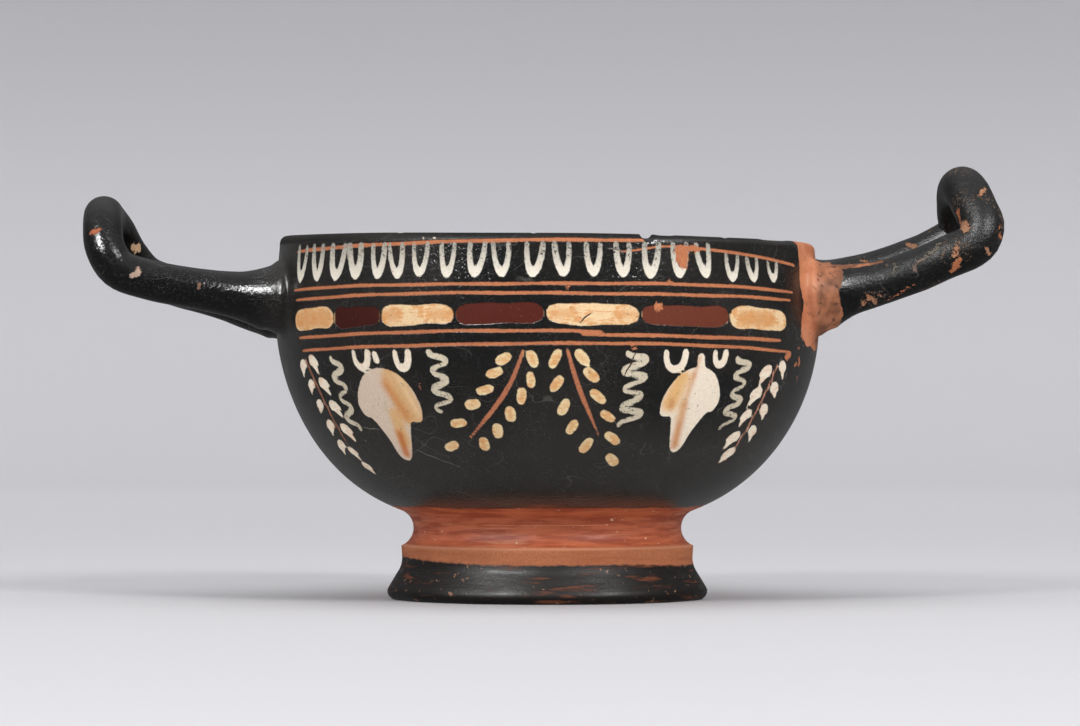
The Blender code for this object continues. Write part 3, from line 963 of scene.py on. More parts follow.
# The two ivy leaves hang point down and mirror one another. Toward the middle of the cup's front each has a
# lobe that stands out over a notch, and its tail hangs straight from there. Away from it the leaf slopes in
# to the tail.
LEAF_OUTLINE = (  # across toward the notched side and up, as shares of the leaf's length, from the top round
    (0.0, 0.0), (0.2, -0.05), (0.36, -0.19), (0.47, -0.38),
    (0.5, -0.53), (0.47, -0.58), (0.38, -0.58), (0.37, -0.66),
    (0.38, -0.94), (0.33, -1.0), (0.24, -0.94), (0.13, -0.76),
    (-0.04, -0.55), (-0.13, -0.51), (-0.21, -0.35), (-0.16, -0.1),
)
NOTCHED_RIGHT, NOTCHED_LEFT = 1, -1


def curve_round(points, steps=4):
    """A closed curve that passes smoothly through its points."""
    points = np.array(points)
    before, here, after, next_one = (np.roll(points, step, axis=0)[:, None] for step in (1, 0, -1, -2))
    t = np.linspace(0, 1, steps, endpoint=False)[:, None]
    straight, bend = after - before, 2 * before - 5 * here + 4 * after - next_one
    curve = here + (straight * t + bend * t**2 + (3 * here - before - 3 * after + next_one) * t**3) / 2
    return curve.reshape(-1, 2)


def leaf_shape(length, notched, waver):
    """A leaf's outline in flat millimetres about the top of its rib."""
    shape = curve_round(LEAF_OUTLINE) * (notched * length, length)
    return shape * (1 + uneven(len(shape), waver)[:, None] / length)


def leaf_wash(place, length, notched, start, end, half_width, tint, strength, softness=1.0):
    """Colour worked into a leaf between two places in it, across and up as shares of its length."""
    run = np.linspace(start, end, 6) * (notched * length, length)
    paint.tinge(laid_facing(run, place), half_width * length, tint, strength, softness)


LEFT_LEAF = ((-38.4, 52.6), 20.5, NOTCHED_RIGHT)
RIGHT_LEAF = ((33.9, 52.8), 18.7, NOTCHED_LEFT)
LEAF_TAN, LEAF_GOLD = linear(224, 178, 120), linear(234, 184, 118)
LEAF_GREEN = linear(168, 156, 104)
for (place, length, notched), tint in ((LEFT_LEAF, LEAF_PINK), (RIGHT_LEAF, LEAF_WHITE)):
    paint.patch(laid_facing(leaf_shape(length, notched, 0.1), place), tint, 0.06)
paint.stroke(on_wall(((33.3, 54.9), (33.7, 51.5))), (0.95, 1.1), LEAF_WHITE, stain=0.1)
# The leaf, start, end, half-width as a share of its length, colour, strength, and softness in millimetres.
WASHES = (
    (LEFT_LEAF, (0.18, -0.1), (0.38, -0.5), 0.15, LEAF_TAN, 0.9, 1.0),
    (LEFT_LEAF, (0.2, -0.5), (0.3, -0.8), 0.08, LEAF_TAN, 0.9, 0.8),
    (LEFT_LEAF, (0.22, -0.06), (0.46, -0.5), 0.025, CREAM, 0.8, 0.9),
    (LEFT_LEAF, (0.1, -0.18), (0.33, -0.52), 0.05, LEAF_ORANGE, 0.8, 1.5),
    (LEFT_LEAF, (0.24, -0.7), (0.32, -0.93), 0.04, LEAF_ORANGE, 0.95, 0.9),
    (LEFT_LEAF, (0.26, -0.72), (0.32, -0.93), 0.02, DEEP_ORANGE, 0.9, 0.9),
    (LEFT_LEAF, (0.1, -0.36), (0.1, -0.45), 0.01, LEAF_GREEN, 0.5, 0.7),
    (RIGHT_LEAF, (0.24, -0.14), (0.38, -0.42), 0.11, LEAF_GOLD, 0.95, 1.2),
    (RIGHT_LEAF, (0.36, -0.4), (0.37, -0.46), 0.02, DEEP_ORANGE, 0.8, 1.0),
    (RIGHT_LEAF, (0.04, 0.1), (0.1, -0.1), 0.02, LEAF_ORANGE, 0.85, 0.8),
    (RIGHT_LEAF, (0.1, -0.1), (0.22, -0.44), 0.025, LEAF_ORANGE, 0.85, 0.9),
    (RIGHT_LEAF, (0.22, -0.44), (0.32, -0.92), 0.05, LEAF_ORANGE, 0.85, 0.9),
    (RIGHT_LEAF, (0.2, -0.2), (0.28, -0.6), 0.05, CREAM, 0.4, 1.0),
)
for ivy, start, end, half_width, tint, strength, softness in WASHES:
    leaf_wash(*ivy, start, end, half_width, tint, strength, softness)

# The chalky squiggles between them: one line swung from side to side as it comes down, from a start at the
# left. Turn, heights of the top and the foot, swing in degrees, how many swings, how level the strokes to the
# right are, and half the line's width.
SQUIGGLES = (
    (-50.4, 54.8, 38.8, 1.6, 3.6, 0.0, 0.6),
    (-23.1, 56.0, 43.0, 1.7, 3.2, 0.1, 0.6),
    (18.4, 55.8, 40.0, 2.1, 4.0, 0.6, 0.62),
    (45.0, 54.6, 39.3, 1.8, 4.0, 0.4, 0.58),
)


def squiggle(at_turn, top, foot, swing, swings, level, half_width):
    """One squiggle. Its swings linger at the sides, as a brush does where it turns back."""
    phase = np.linspace(0, 2 * math.pi * swings, 160) - math.pi / 2
    come_down = phase - phase[0] - level * (np.sin(phase) + 1)
    across = np.tanh(1.4 * np.sin(phase)) / math.tanh(1.4)
    turns = at_turn + swing * across * (1 + 0.14 * np.sin(phase / 2.7 + at_turn))
    heights = top + (foot - top) * come_down / come_down[-1]
    widths = half_width * (1 + 0.22 * np.sin(np.linspace(0, 9, 9) + at_turn))
    run = on_wall(np.stack((turns, heights), axis=1))
    paint.stroke(run, (*widths, 0.45), CHALK, CHALK * 0.9, 0.03, (0.16, 0.26))


for values in SQUIGGLES:
    squiggle(*values)

# Small loops hang from the lower line beside each leaf: turn, width and depth in millimetres.
HANGING_LOOPS = ((-42.3, 4.2, 3.4), (-31.5, 3.4, 3.6), (27.2, 4.8, 3.8), (38.2, 3.0, 2.8))
LOOPS_HANG_FROM = 56.0
for at_turn, width, depth in HANGING_LOOPS:
    around = np.linspace(0, math.pi, 16)
    shape = np.stack((-width / 2 * np.cos(around), -depth * np.sin(around) ** 0.8), axis=1)
    run = on_wall(laid(shape, (at_turn, LOOPS_HANG_FROM)))
    paint.stroke(run, (0.62, 0.76, 0.92, 0.8), LEAF_WHITE, stain=0.1, thin=(0.12, 0.0))
paint.stroke(on_wall(((-38.4, 55.6), (-38.0, 54.3))), (0.74, 0.86), LEAF_WHITE, stain=0.1)

# The two side sprigs: a thin red-brown stem with small pale ivy leaves in pairs that point down it.
SMALL_LEAF_BREADTH = 1.2  # how much broader a small leaf is made than a large one, for its length


def small_leaf(at_turn, height, length, notched, lean=0.0):
    """One small ivy leaf, with the top of its rib at a turn and height."""
    shape = leaf_shape(length, notched, 0.3) * (SMALL_LEAF_BREADTH, 1)
    paint.patch(laid(shape, (at_turn, height), lean), LEAF_WHITE, 0.35)


def side_sprig(top, foot, bow, stem_tint, rows):
    """A stem and its rows of leaves. A row has its side, how many leaves, their step and their length."""
    for side, count, step, length in rows:
        for number in range(count):
            height = top[1] + 0.6 + 0.5 * side - step * number
            share = np.clip((top[1] - height + 2) / (top[1] - foot[1]), 0, 1)
            beside = top[0] * (1 - share) + foot[0] * share + bow * math.sin(math.pi * share)
            at_turn = laid([(side * 2.2, 0.0)], (beside, height))[0, 0]
            grown = length * rng.uniform(0.9, 1.08)
            small_leaf(at_turn, height, grown, side, side * 6 + rng.uniform(-8, 8))
    stem = stem_run(top, foot, bow)
    paint.stroke(on_wall(stem), (0.42, 0.46, 0.4, 0.2), stem_tint, stain=0.1, thin=(0.2, 0.1))


SIDE_STEMS = (linear(146, 94, 70), linear(194, 130, 104))
side_sprig((-62.3, 54.5), (-57.6, 38.0), 0.8, SIDE_STEMS[0], ((-1, 5, 4.5, 4.3), (1, 4, 5.1, 4.9)))
side_sprig((56.9, 53.2), (52.6, 37.0), -0.5, SIDE_STEMS[1], ((-1, 4, 4.9, 4.8), (1, 4, 4.8, 4.3)))
small_leaf(-57.6, 35.0, 3.8, NOTCHED_RIGHT)
small_leaf(-56.0, 31.6, 3.8, NOTCHED_RIGHT)
small_leaf(52.0, 35.0, 4.8, NOTCHED_LEFT)

# Behind, the same bands run on more plainly: lines, tongues and bars, with nothing below them.
BEHIND = 180  # the turn of the middle of the back
TONGUE_STEP_BEHIND, BAR_STEP_BEHIND = 5.9, 19.2
WIDE_BEHIND, NEAR_BEHIND = (80.2, 68.8, 57.5), (70.9, 60.4)
for lines, heights in ((wide_lines, WIDE_BEHIND), (near_lines, NEAR_BEHIND)):
    for height in heights:
        turns = np.linspace(BEHIND - 68, BEHIND + 68, 40)
        run = np.stack((turns, height + 0.15 * np.sin(np.radians(3 * turns))), axis=1)
        lines.add(run, (0.3, 0.44, 0.44, 0.44, 0.3))
for step in range(-11, 12):
    tongue(BEHIND + step * TONGUE_STEP_BEHIND, 72.2 + rng.uniform(-0.3, 0.3), 6.6, 0.64)
for step in range(7):
    at_turn = (step - 3) * BAR_STEP_BEHIND
    tint, stain = (CREAM, 0.6) if step % 2 else (DARK_REDS[1], 0.0)
    around = circle_round(48)
    rounded = rounded_box(around, 8)
    edge = 2.3 * rounded * np.sin(around) + uneven(48, 0.25)
    shape = np.stack((9.1 * rounded * np.cos(around), edge), axis=1)
    paint.patch(laid(shape, (BEHIND + at_turn, 64.3)), tint, stain)

wide_lines.save("wide_lines")
near_lines.save("near_lines")

# ------------------------------------------------------------------------------------------------------------
# Wear and mending: flakes where the gloss or paint has come away from the clay, cracks and scratches, and the
# orange fill with which a restorer set the right handle's front root back on the wall.
# ------------------------------------------------------------------------------------------------------------
flaked = Coat()


def flake(at_turn, height, width, tall, lean=0.0):
    """An uneven chip of the gloss or paint, with the clay bare in it."""
    around = circle_round(26)
    size = 1 + uneven(26, 0.22)
    shape = np.stack((width / 2 * size * np.cos(around), tall / 2 * size * np.sin(around)), axis=1)
    flaked.patch(laid(shape, (at_turn, height), lean), CLAY)


WALL_FLAKES = (  # turn, height, width, how tall, lean
    (28.6, 77.0, 3.6, 5.2, 0),
    (31.0, 78.7, 5.4, 1.3, -6),
    (22.9, 65.9, 2.4, 1.9, 0),
    (60.7, 55.3, 3.4, 1.6, 8),
    (25.6, 71.3, 1.6, 0.7, 0),
    (4.0, 70.1, 1.0, 0.9, 0),
    (17.8, 57.1, 1.5, 0.9, -30),
    (-28.0, 48.4, 0.5, 1.3, 0),
)
for values in WALL_FLAKES:
    flake(*values)
for number in range(9):  # where the gloss is thin beside the mended handle
    at_turn, height = rng.uniform(63, 69), rng.uniform(49, 61)
    flake(at_turn, height, rng.uniform(0.5, 0.9), rng.uniform(1.0, 1.8), rng.uniform(-20, 20))

body_points = KDTree(len(places))
for number, place in enumerate(places):
    body_points.insert(place, number)
body_points.balance()


def on_coil(stations, side, share, facing):
    """The surface of a coil at a share of its length, front root to back, where it faces so many degrees up
    from straight in front."""
    route = smooth_route(stations) * (side, 1, 1)
    at = share * (len(route) - 2)
    middle = np.array([np.interp(at, range(len(route)), route[:, k]) for k in range(3)])
    ahead = route[int(at) + 1] - route[int(at)]
    ahead /= np.linalg.norm(ahead)
    front = np.array((0.0, -1.0, 0.0)) - ahead * -ahead[1]
    front /= max(np.linalg.norm(front), 1e-6)
    upper = np.cross(ahead, front)
    upper *= math.copysign(1.0, upper[2])
    out = front * math.cos(math.radians(facing)) + upper * math.sin(math.radians(facing))
    return places[body_points.find(middle + out * COIL_RADIUS)[1]]


OLD_CLAY, RED_CLAY = linear(166, 122, 92), linear(172, 106, 70)
PALE_CLAY, SCUFF = linear(206, 168, 132), linear(104, 98, 88)
RIGHT_FLAKES = (  # share of the way along, facing, its length in shares, half-width, colour
    (0.35, 60, 0.024, 1.2, OLD_CLAY),
    (0.264, -30, 0.012, 0.9, RED_CLAY),
    (0.275, 10, 0.01, 0.55, OLD_CLAY),
    (0.785, 40, 0.006, 0.75, OLD_CLAY),
    (0.1, -35, 0.003, 0.5, OLD_CLAY),
    (0.118, -42, 0.003, 0.4, OLD_CLAY),
    (0.158, -42, 0.02, 0.36, RED_CLAY),
    (0.44, 30, 0.01, 0.55, OLD_CLAY),
    (0.42, -60, 0.01, 0.6, RED_CLAY),
    (0.36, -55, 0.006, 0.4, RED_CLAY),
    (0.32, -40, 0.005, 0.55, OLD_CLAY),
    (0.235, 35, 0.02, 0.7, SCUFF),
    (0.16, 28, 0.003, 0.4, SCUFF),
    (0.195, 12, 0.004, 0.45, SCUFF),
    (0.87, 30, 0.006, 0.4, OLD_CLAY),
)
LEFT_FLAKES = (
    (0.4, -18, 0.002, 0.8, linear(176, 102, 66)),
    (0.272, 12, -0.006, 0.8, linear(186, 160, 142)),
    (0.668, 40, 0.008, 1.1, PALE_CLAY),
    (0.155, 8, 0.0, 0.5, linear(126, 98, 80)),
)
FACING_SPREAD = 12  # a flake runs a little round the coil as well as along it
for stations, side, flakes in ((RIGHT_HANDLE, 1, RIGHT_FLAKES), (LEFT_HANDLE, -1, LEFT_FLAKES)):
    for share, facing, length, half_width, tint in flakes:
        run = []
        for step in (-1, -0.3, 0.3, 1):
            run.append(on_coil(stations, side, share + length * step, facing + FACING_SPREAD * step))
        run = np.array(run)
        flaked.stroke(run, (half_width * 0.7, half_width, half_width * 0.6), tint)
for at_turn in (-26.5, -24.0):  # two pale specks on the lip
    paint.stroke(on_wall(((at_turn, 81.0), (at_turn + 0.3, 80.8))), (0.25,), LEAF_WHITE)
paint.save("paint")

# The fill meets the wall along an upright edge and ends across the arm. Its lower edge rises round the wall.
FILL_EDGE_TURN, FILL_EDGE_OUT, FILL_LOW = 66.6, 66.0, 57.0
FILL_BACK_TURN = 101.0
FILL_SKIN = 2.6  # it goes no further into the wall than this
DEEP = 12.0  # no depth above this is kept
heights = places[:, 2]
edge_turn = FILL_EDGE_TURN + 0.3 * np.sin(heights / 1.7) + 4.5 * smoothstep(61, 56, heights)
edge_out = FILL_EDGE_OUT + 0.45 * np.sin(heights / 1.45 + 1.0)
low_edge = FILL_LOW + 0.5 * np.sin(turn_now / 2.2) + 5.0 * smoothstep(80, 100, turn_now)
fill_depth = np.minimum.reduce(
    (
        np.radians(turn_now - edge_turn) * distance_out,
        edge_out - places[:, 0],
        heights - low_edge,
        np.radians(FILL_BACK_TURN - turn_now) * distance_out,
        distance_out - wall_at_height + FILL_SKIN,
    )
)
fill = Coat()
fill.depth = np.clip(fill_depth, FAR, DEEP)
smear = np.array([on_coil(RIGHT_HANDLE, 1, share, 62) for share in (0.05, 0.08, 0.11, 0.14)])
fill.stroke(smear, (1.8, 1.2, 0.9, 0.5), CLAY)
fill.tint[:] = 0  # the filler has one colour, so none is kept
fill.save("fill")
flaked.save("flaked")


def crack(lines, at_turn, height, length, lean, half_width):
    """A fine crack or scratch about its middle, that strays a little from straight."""
    along = np.linspace(-length / 2, length / 2, 12)
    shape = np.stack((along, 0.12 * np.sin(along * 1.7 + at_turn)), axis=1)
    ends = (half_width * 0.5, half_width, half_width, half_width * 0.5)
    lines.add(laid(shape, (at_turn, height), lean), ends)


cracks, scratches = Hairlines(), Hairlines()
# Turn, height, length, lean and half-width of each.
CRACKS = ((17.2, 53.4, 6.6, 66, 0.17), (7.5, 63.4, 3.4, 40, 0.16), (-23.0, 53.6, 2.2, -45, 0.12))
SCRATCHES = (
    (-45.0, 39.2, 5.4, -5, 0.12),
    (-49.0, 36.4, 0.9, -60, 0.2),
    (-28.4, 32.6, 11.0, -27, 0.08),
    (58.0, 54.2, 1.6, 60, 0.16),
    (53.0, 35.0, 2.6, 95, 0.1),
    (14.0, 78.3, 3.6, -12, 0.22),
    (61.7, 51.0, 1.6, 85, 0.12),
)
for values in CRACKS:
    crack(cracks, *values)
for values in SCRATCHES:
    crack(scratches, *values)
cracks.save("cracks")
scratches.save("scratches")

# How worn the gloss is: most on the right handle, a little on the left one and along the rim.
wear = 0.06 + 0.7 * smoothstep(63, 70, places[:, 0]) + 0.06 * smoothstep(63, 75, -places[:, 0])
wear += 0.35 * smoothstep(80.6, 81.8, places[:, 2]) * (distance_out < 62)
save_values("wear", wear)

# ------------------------------------------------------------------------------------------------------------
# Finishes of the fired clay. Each is a node group that gives a colour, a roughness and a height in
# millimetres, and the materials lay one over another by masks. A pattern lies between 0 and 1, mostly about
# 0.5, and between() picks the part of it that shows.
# ------------------------------------------------------------------------------------------------------------


def shader_group(name, inputs, outputs):
    """A shader node group with named inputs and outputs: its tree, what it is given and what it gives."""
    tree = bpy.data.node_groups.new(name, "ShaderNodeTree")
    kinds = {"colour": "NodeSocketColor", "value": "NodeSocketFloat"}
    for label, (kind, value) in inputs.items():
        socket = tree.interface.new_socket(label, in_out="INPUT", socket_type=kinds[kind])
        socket.default_value = value
    for label, kind in outputs.items():
        tree.interface.new_socket(label, in_out="OUTPUT", socket_type=kinds[kind])
    return tree, tree.nodes.new("NodeGroupInput").outputs, tree.nodes.new("NodeGroupOutput").inputs


SURFACE = {"Colour": "colour", "Roughness": "value", "Height": "value"}


def spread(tree, scale, stretch=(1, 1, 1), detail=2.0, roughness=0.5, shift=(0, 0, 0)):
    """A cloudy pattern fixed to the object, 0 to 1. Scale is in repeats for each millimetre."""
    where = put(tree, "ShaderNodeTexCoord").outputs["Object"]
    repeats = tuple(share / MM * scale for share in stretch)
    scaled = put(tree, "ShaderNodeMapping", {"Vector": where, "Location": shift, "Scale": repeats}).outputs[0]
    fineness = {"Vector": scaled, "Scale": 1.0, "Detail": detail, "Roughness": roughness}
    return put(tree, "ShaderNodeTexNoise", fineness).outputs["Fac"]


def object_axes(tree):
    """Where a point is on the object, along X, Y and Z in metres."""
    place = put(tree, "ShaderNodeTexCoord").outputs["Object"]
    return put(tree, "ShaderNodeSeparateXYZ", {0: place}).outputs


def mixed(tree, share, first, second):
    """A colour or a value, from first to second by share."""
    colours = isinstance(first, (tuple, np.ndarray)) or getattr(first, "type", "") == "RGBA"
    kind = "RGBA" if colours else "FLOAT"
    first = (*first[:3], 1.0) if isinstance(first, (tuple, np.ndarray)) else first
    second = (*second[:3], 1.0) if isinstance(second, (tuple, np.ndarray)) else second
    node = put(tree, "ShaderNodeMix", {}, data_type=kind)
    factor = next(s for s in node.inputs if s.enabled and s.name == "Factor")
    a, b = (next(s for s in node.inputs if s.enabled and s.name == label) for label in "AB")
    for socket, value in ((factor, share), (a, first), (b, second)):
        if isinstance(value, bpy.types.NodeSocket):
            tree.links.new(value, socket)
        else:
            socket.default_value = value
    return next(s for s in node.outputs if s.enabled)


# Black gloss: a fine slip that sintered to a thin glassy skin, brushed on as the cup turned. Where hands held
# the cup it is worn through in specks.
GLOSS_BLACK, GLOSS_GREY = linear(22, 22, 21), linear(40, 37, 34)
# The grey low on the bowl is a painted reflection of the pale floor in the gloss.
GLOSS_FLOOR_REFLECTION, GLOSS_HANDLE = linear(62, 60, 56), linear(6, 6, 6)  # low on the bowl, and on the handles
GLOSS_FINE, GLOSS_WHEEL = linear(62, 62, 60), linear(44, 38, 34)  # in its fine grain and its wheel marks
DUST, SCUFFS = linear(112, 114, 114), linear(92, 90, 84)
WORN_DARK, WORN_PALE = linear(104, 84, 68), linear(146, 118, 96)
FLOOR_REFLECTION_HEIGHTS = (48 * MM, 32 * MM)
OUT_ON_HANDLES = (60 * MM, 68 * MM)
LIP_HEIGHTS, BESIDE_HANDLES = (80.0 * MM, 81.2 * MM), (63.5 * MM, 62.5 * MM)
gloss, given, gives = shader_group("black_gloss_slip", {"Wear": ("value", 0.12)}, SURFACE)
broad = spread(gloss, 0.035, detail=3.0)
fine = spread(gloss, 0.9, detail=3.0, roughness=0.6)
wheel_marks = spread(gloss, 0.05, (1, 1, 16), detail=3.0)
orange_peel = spread(gloss, 1.4, detail=2.0)
dust = spread(gloss, 3.4, detail=1.0, shift=(3, 5, 1))
glitter = spread(gloss, 3.0, detail=1.0, shift=(8, 2, 2))
patches = spread(gloss, 0.14, detail=3.0, shift=(7, 1, 6))
worn = spread(gloss, 1.5, detail=5.0, roughness=0.75, shift=(2, 8, 3))
worn_places = spread(gloss, 0.12, detail=2.0, shift=(1, 4, 9))
axes = object_axes(gloss)
colour = mixed(gloss, between(gloss, broad, 0.35, 0.7), GLOSS_BLACK, GLOSS_GREY)
# Towards the bottom of the bowl the gloss is greyed: a painted reflection of the floor.
colour = mixed(gloss, between(gloss, axes[2], *FLOOR_REFLECTION_HEIGHTS, 0.0, 0.55), colour, GLOSS_FLOOR_REFLECTION)
on_handle = between(gloss, calc(gloss, "ABSOLUTE", axes[0]), *OUT_ON_HANDLES, 0.0, 0.8)
colour = mixed(gloss, on_handle, colour, GLOSS_HANDLE)
colour = mixed(gloss, between(gloss, fine, 0.5, 0.8, 0.0, 0.3), colour, GLOSS_FINE)
colour = mixed(gloss, between(gloss, wheel_marks, 0.58, 0.8, 0.0, 0.25), colour, GLOSS_WHEEL)
dusty = between(gloss, dust, 0.62, 0.72)
speckled = times(gloss, dusty, between(gloss, patches, 0.42, 0.62, 0.04, 0.36))
colour = mixed(gloss, speckled, colour, DUST)
winding = minus(gloss, spread(gloss, 0.085, (1, 1, 1.8), detail=1.0, shift=(3, 1, 7)), 0.5)
scuffed = between(gloss, calc(gloss, "ABSOLUTE", winding), 0.007, 0.0, 0.0, 0.5)
scuffed = times(gloss, scuffed, between(gloss, patches, 0.44, 0.6))
colour = mixed(gloss, scuffed, colour, SCUFFS)
often = times(gloss, given["Wear"], between(gloss, worn_places, 0.38, 0.62, 0.14, 0.32))
threshold = minus(gloss, 0.80, often)
rubbed = between(gloss, minus(gloss, worn, threshold), 0.0, 0.04)
colour = mixed(gloss, rubbed, colour, mixed(gloss, fine, WORN_DARK, WORN_PALE))
gloss.links.new(colour, gives["Colour"])
rough = plus(gloss, between(gloss, broad, 0.3, 0.75, 0.1, 0.18), times(gloss, fine, 0.06))
rough = plus(gloss, rough, times(gloss, squared(gloss, given["Wear"]), 0.34))
sideways = calc(gloss, "ABSOLUTE", axes[0])
lip = between(gloss, axes[2], *LIP_HEIGHTS)
lip = times(gloss, lip, between(gloss, sideways, *BESIDE_HANDLES))
rough = mixed(gloss, lip, rough, 0.6)
gloss.links.new(mixed(gloss, rubbed, rough, 0.75), gives["Roughness"])
height = plus(gloss, times(gloss, orange_peel, 0.10), times(gloss, wheel_marks, 0.05))
height = plus(gloss, height, times(gloss, glitter, 0.045))
height = plus(gloss, height, times(gloss, times(gloss, worn, given["Wear"]), 0.1))
height = minus(gloss, height, times(gloss, rubbed, 0.05))
gloss.links.new(plus(gloss, height, times(gloss, broad, 0.25)), gives["Height"])


def shaded(tree, colour, brightness):
    """The colour made so many times as bright."""
    return put(tree, "ShaderNodeHueSaturation", {"Color": colour, "Value": brightness}).outputs[0]


# Bare clay: what shows where the gloss was scraped or has flaked away.
CLAY_SHADE = linear(160, 92, 64)
clay, given, gives = shader_group("bare_clay", {"Tint": ("colour", (*CLAY, 1.0))}, SURFACE)
grain = spread(clay, 2.2, detail=3.0, roughness=0.65)
cloud = spread(clay, 0.16, detail=3.0)
colour = shaded(clay, given["Tint"], between(clay, grain, 0.25, 0.8, 0.78, 1.16))
colour = mixed(clay, between(clay, cloud, 0.45, 0.75, 0.0, 0.35), colour, CLAY_SHADE)
clay.links.new(colour, gives["Colour"])
clay.links.new(between(clay, cloud, 0.2, 0.8, 0.6, 0.78), gives["Roughness"])
clay.links.new(times(clay, grain, 0.05), gives["Height"])

# Slip colours laid over the gloss: thick, matt and a little stained.
SLIP_STAIN, SLIP_PIT = linear(222, 154, 90), linear(130, 92, 64)
PURE_WHITE = (1, 1, 1, 1)
added, given, gives = shader_group(
    "added_slip", {"Tint": ("colour", PURE_WHITE), "Stain": ("value", 0.0)}, SURFACE
)
blotch = spread(added, 0.42, detail=4.0, roughness=0.6)
crumb = spread(added, 2.4, detail=2.0)
brushed = spread(added, 1.2, (0.4, 0.4, 1.9), detail=3.0, roughness=0.6)
grainy = plus(added, blotch, times(added, minus(added, brushed, 0.5), 0.9))
stained = times(added, between(added, grainy, 0.44, 0.68), given["Stain"])
colour = mixed(added, stained, given["Tint"], SLIP_STAIN)
colour = shaded(added, colour, between(added, crumb, 0.25, 0.75, 0.92, 1.06))
pit = between(added, spread(added, 1.5, detail=1.0, shift=(9, 2, 4)), 0.71, 0.76, 0.0, 0.6)
colour = mixed(added, pit, colour, SLIP_PIT)
added.links.new(colour, gives["Colour"])
added.links.new(between(added, blotch, 0.3, 0.7, 0.6, 0.72), gives["Roughness"])
body = plus(added, 0.08, times(added, minus(added, blotch, pit), 0.05))
added.links.new(body, gives["Height"])

# The restorer's fill: tinted filler smoothed with a finger, with pits and dirt in it.
FILLER_PALE, FILLER_DARK = linear(212, 138, 98), linear(192, 116, 80)
SOILED_PALE, SOILED_DARK, FILLER_PIT = linear(170, 108, 74), linear(124, 80, 56), linear(72, 50, 42)
filler, given, gives = shader_group("tinted_filler", {"Soiling": ("value", 0.0)}, SURFACE)
cloud = spread(filler, 0.2, detail=4.0)
pits = between(filler, spread(filler, 0.8, detail=3.0, shift=(4, 4, 8)), 0.58, 0.68)
colour = mixed(filler, between(filler, cloud, 0.35, 0.7), FILLER_PALE, FILLER_DARK)
dirty = mixed(filler, between(filler, cloud, 0.4, 0.6), SOILED_PALE, SOILED_DARK)
colour = mixed(filler, given["Soiling"], colour, dirty)
shown = times(filler, pits, plus(filler, 0.2, times(filler, given["Soiling"], 0.6)))
colour = mixed(filler, shown, colour, FILLER_PIT)
filler.links.new(colour, gives["Colour"])
filler.links.new(between(filler, cloud, 0.3, 0.7, 0.45, 0.58), gives["Roughness"])
uneven_height = minus(filler, times(filler, cloud, 0.25), times(filler, pits, 0.1))
filler.links.new(uneven_height, gives["Height"])

# A mask with a broken edge, from the depth inside a stroke or patch in millimetres.
broken, given, gives = shader_group(
    "broken_edge",
    {
        "Depth": ("value", 0.0),
        "Raggedness": ("value", 0.2),
        "Scale": ("value", 1.0),
        "Softness": ("value", 0.08),
    },
    {"Mask": "value"},
)
where = put(broken, "ShaderNodeTexCoord").outputs["Object"]
repeats = calc(broken, "DIVIDE", given["Scale"], MM)
sized = put(broken, "ShaderNodeVectorMath", {0: where, "Scale": repeats}, operation="SCALE").outputs[0]
edge = put(broken, "ShaderNodeTexNoise", {"Vector": sized, "Scale": 1.0, "Detail": 2.0, "Roughness": 0.6})
moved = times(broken, minus(broken, edge.outputs["Fac"], 0.5), given["Raggedness"])
depth = plus(broken, given["Depth"], times(broken, moved, 2.0))
depth = calc(broken, "DIVIDE", depth, given["Softness"])
broken.links.new(calc(broken, "ADD", times(broken, depth, 0.5), 0.5, clamp=True), gives["Mask"])


def finish_of(tree, group, inputs=()):
    """A finish group placed in a material, as a dict of its outputs."""
    node = put(tree, "ShaderNodeGroup", inputs, node_tree=group)
    return {socket.name: socket for socket in node.outputs}


def laid_over(tree, under, over, mask):
    """One surface over another where the mask is 1."""
    return {key: mixed(tree, mask, under[key], over[key]) for key in SURFACE}


def kept_value(tree, attribute):
    """A value that the cup's vertices keep."""
    return put(tree, "ShaderNodeAttribute", attribute_name=attribute).outputs["Fac"]


def ragged_mask(tree, depth, raggedness, scale, softness):
    """The mask for a depth, with its edge broken as paint and chips break."""
    values = {"Depth": depth, "Raggedness": raggedness, "Scale": scale, "Softness": softness}
    return finish_of(tree, broken, values)["Mask"]


def edge_mask(tree, coat, raggedness, scale, softness=0.1):
    """Where a layer of colour lies."""
    return ragged_mask(tree, kept_value(tree, coat), raggedness, scale, softness)


def line_mask(tree, lines, raggedness, scale, softness=0.1):
    """Where a hairline runs: inside its half-width from its middle."""
    off = calc(tree, "ABSOLUTE", kept_value(tree, lines + "_offset"))
    depth = minus(tree, kept_value(tree, lines + "_reach"), off)
    return ragged_mask(tree, depth, raggedness, scale, softness)


def finished(tree, surface):
    """Joins a surface to the material's own shader. Matt clay and paint reflect less than the gloss."""
    looks = {"Base Color": surface["Colour"], "Roughness": surface["Roughness"]}
    shader = put(tree, "ShaderNodeBsdfPrincipled", looks)
    gleam = between(tree, surface["Roughness"], 0.3, 0.6, 0.5, 0.15)
    tree.links.new(gleam, shader.inputs["Specular IOR Level"])
    bump = put(tree, "ShaderNodeBump", {"Height": surface["Height"], "Strength": 1.0, "Distance": MM})
    tree.links.new(bump.outputs[0], shader.inputs["Normal"])
    put(tree, "ShaderNodeOutputMaterial", {"Surface": shader.outputs[0]})


def material_tree(material):
    """The material's own node tree, emptied."""
    material.use_nodes = True
    material.node_tree.nodes.clear()
    return material.node_tree


tree = material_tree(painted_gloss)
surface = finish_of(tree, gloss, {"Wear": kept_value(tree, "wear")})
bare = finish_of(tree, clay)
for lines in ("wide_lines", "near_lines"):
    surface = laid_over(tree, surface, bare, line_mask(tree, lines, 0.2, 1.4))
tint = put(tree, "ShaderNodeAttribute", attribute_name="paint_tint")
colours = finish_of(tree, added, {"Tint": tint.outputs["Color"], "Stain": tint.outputs["Alpha"]})
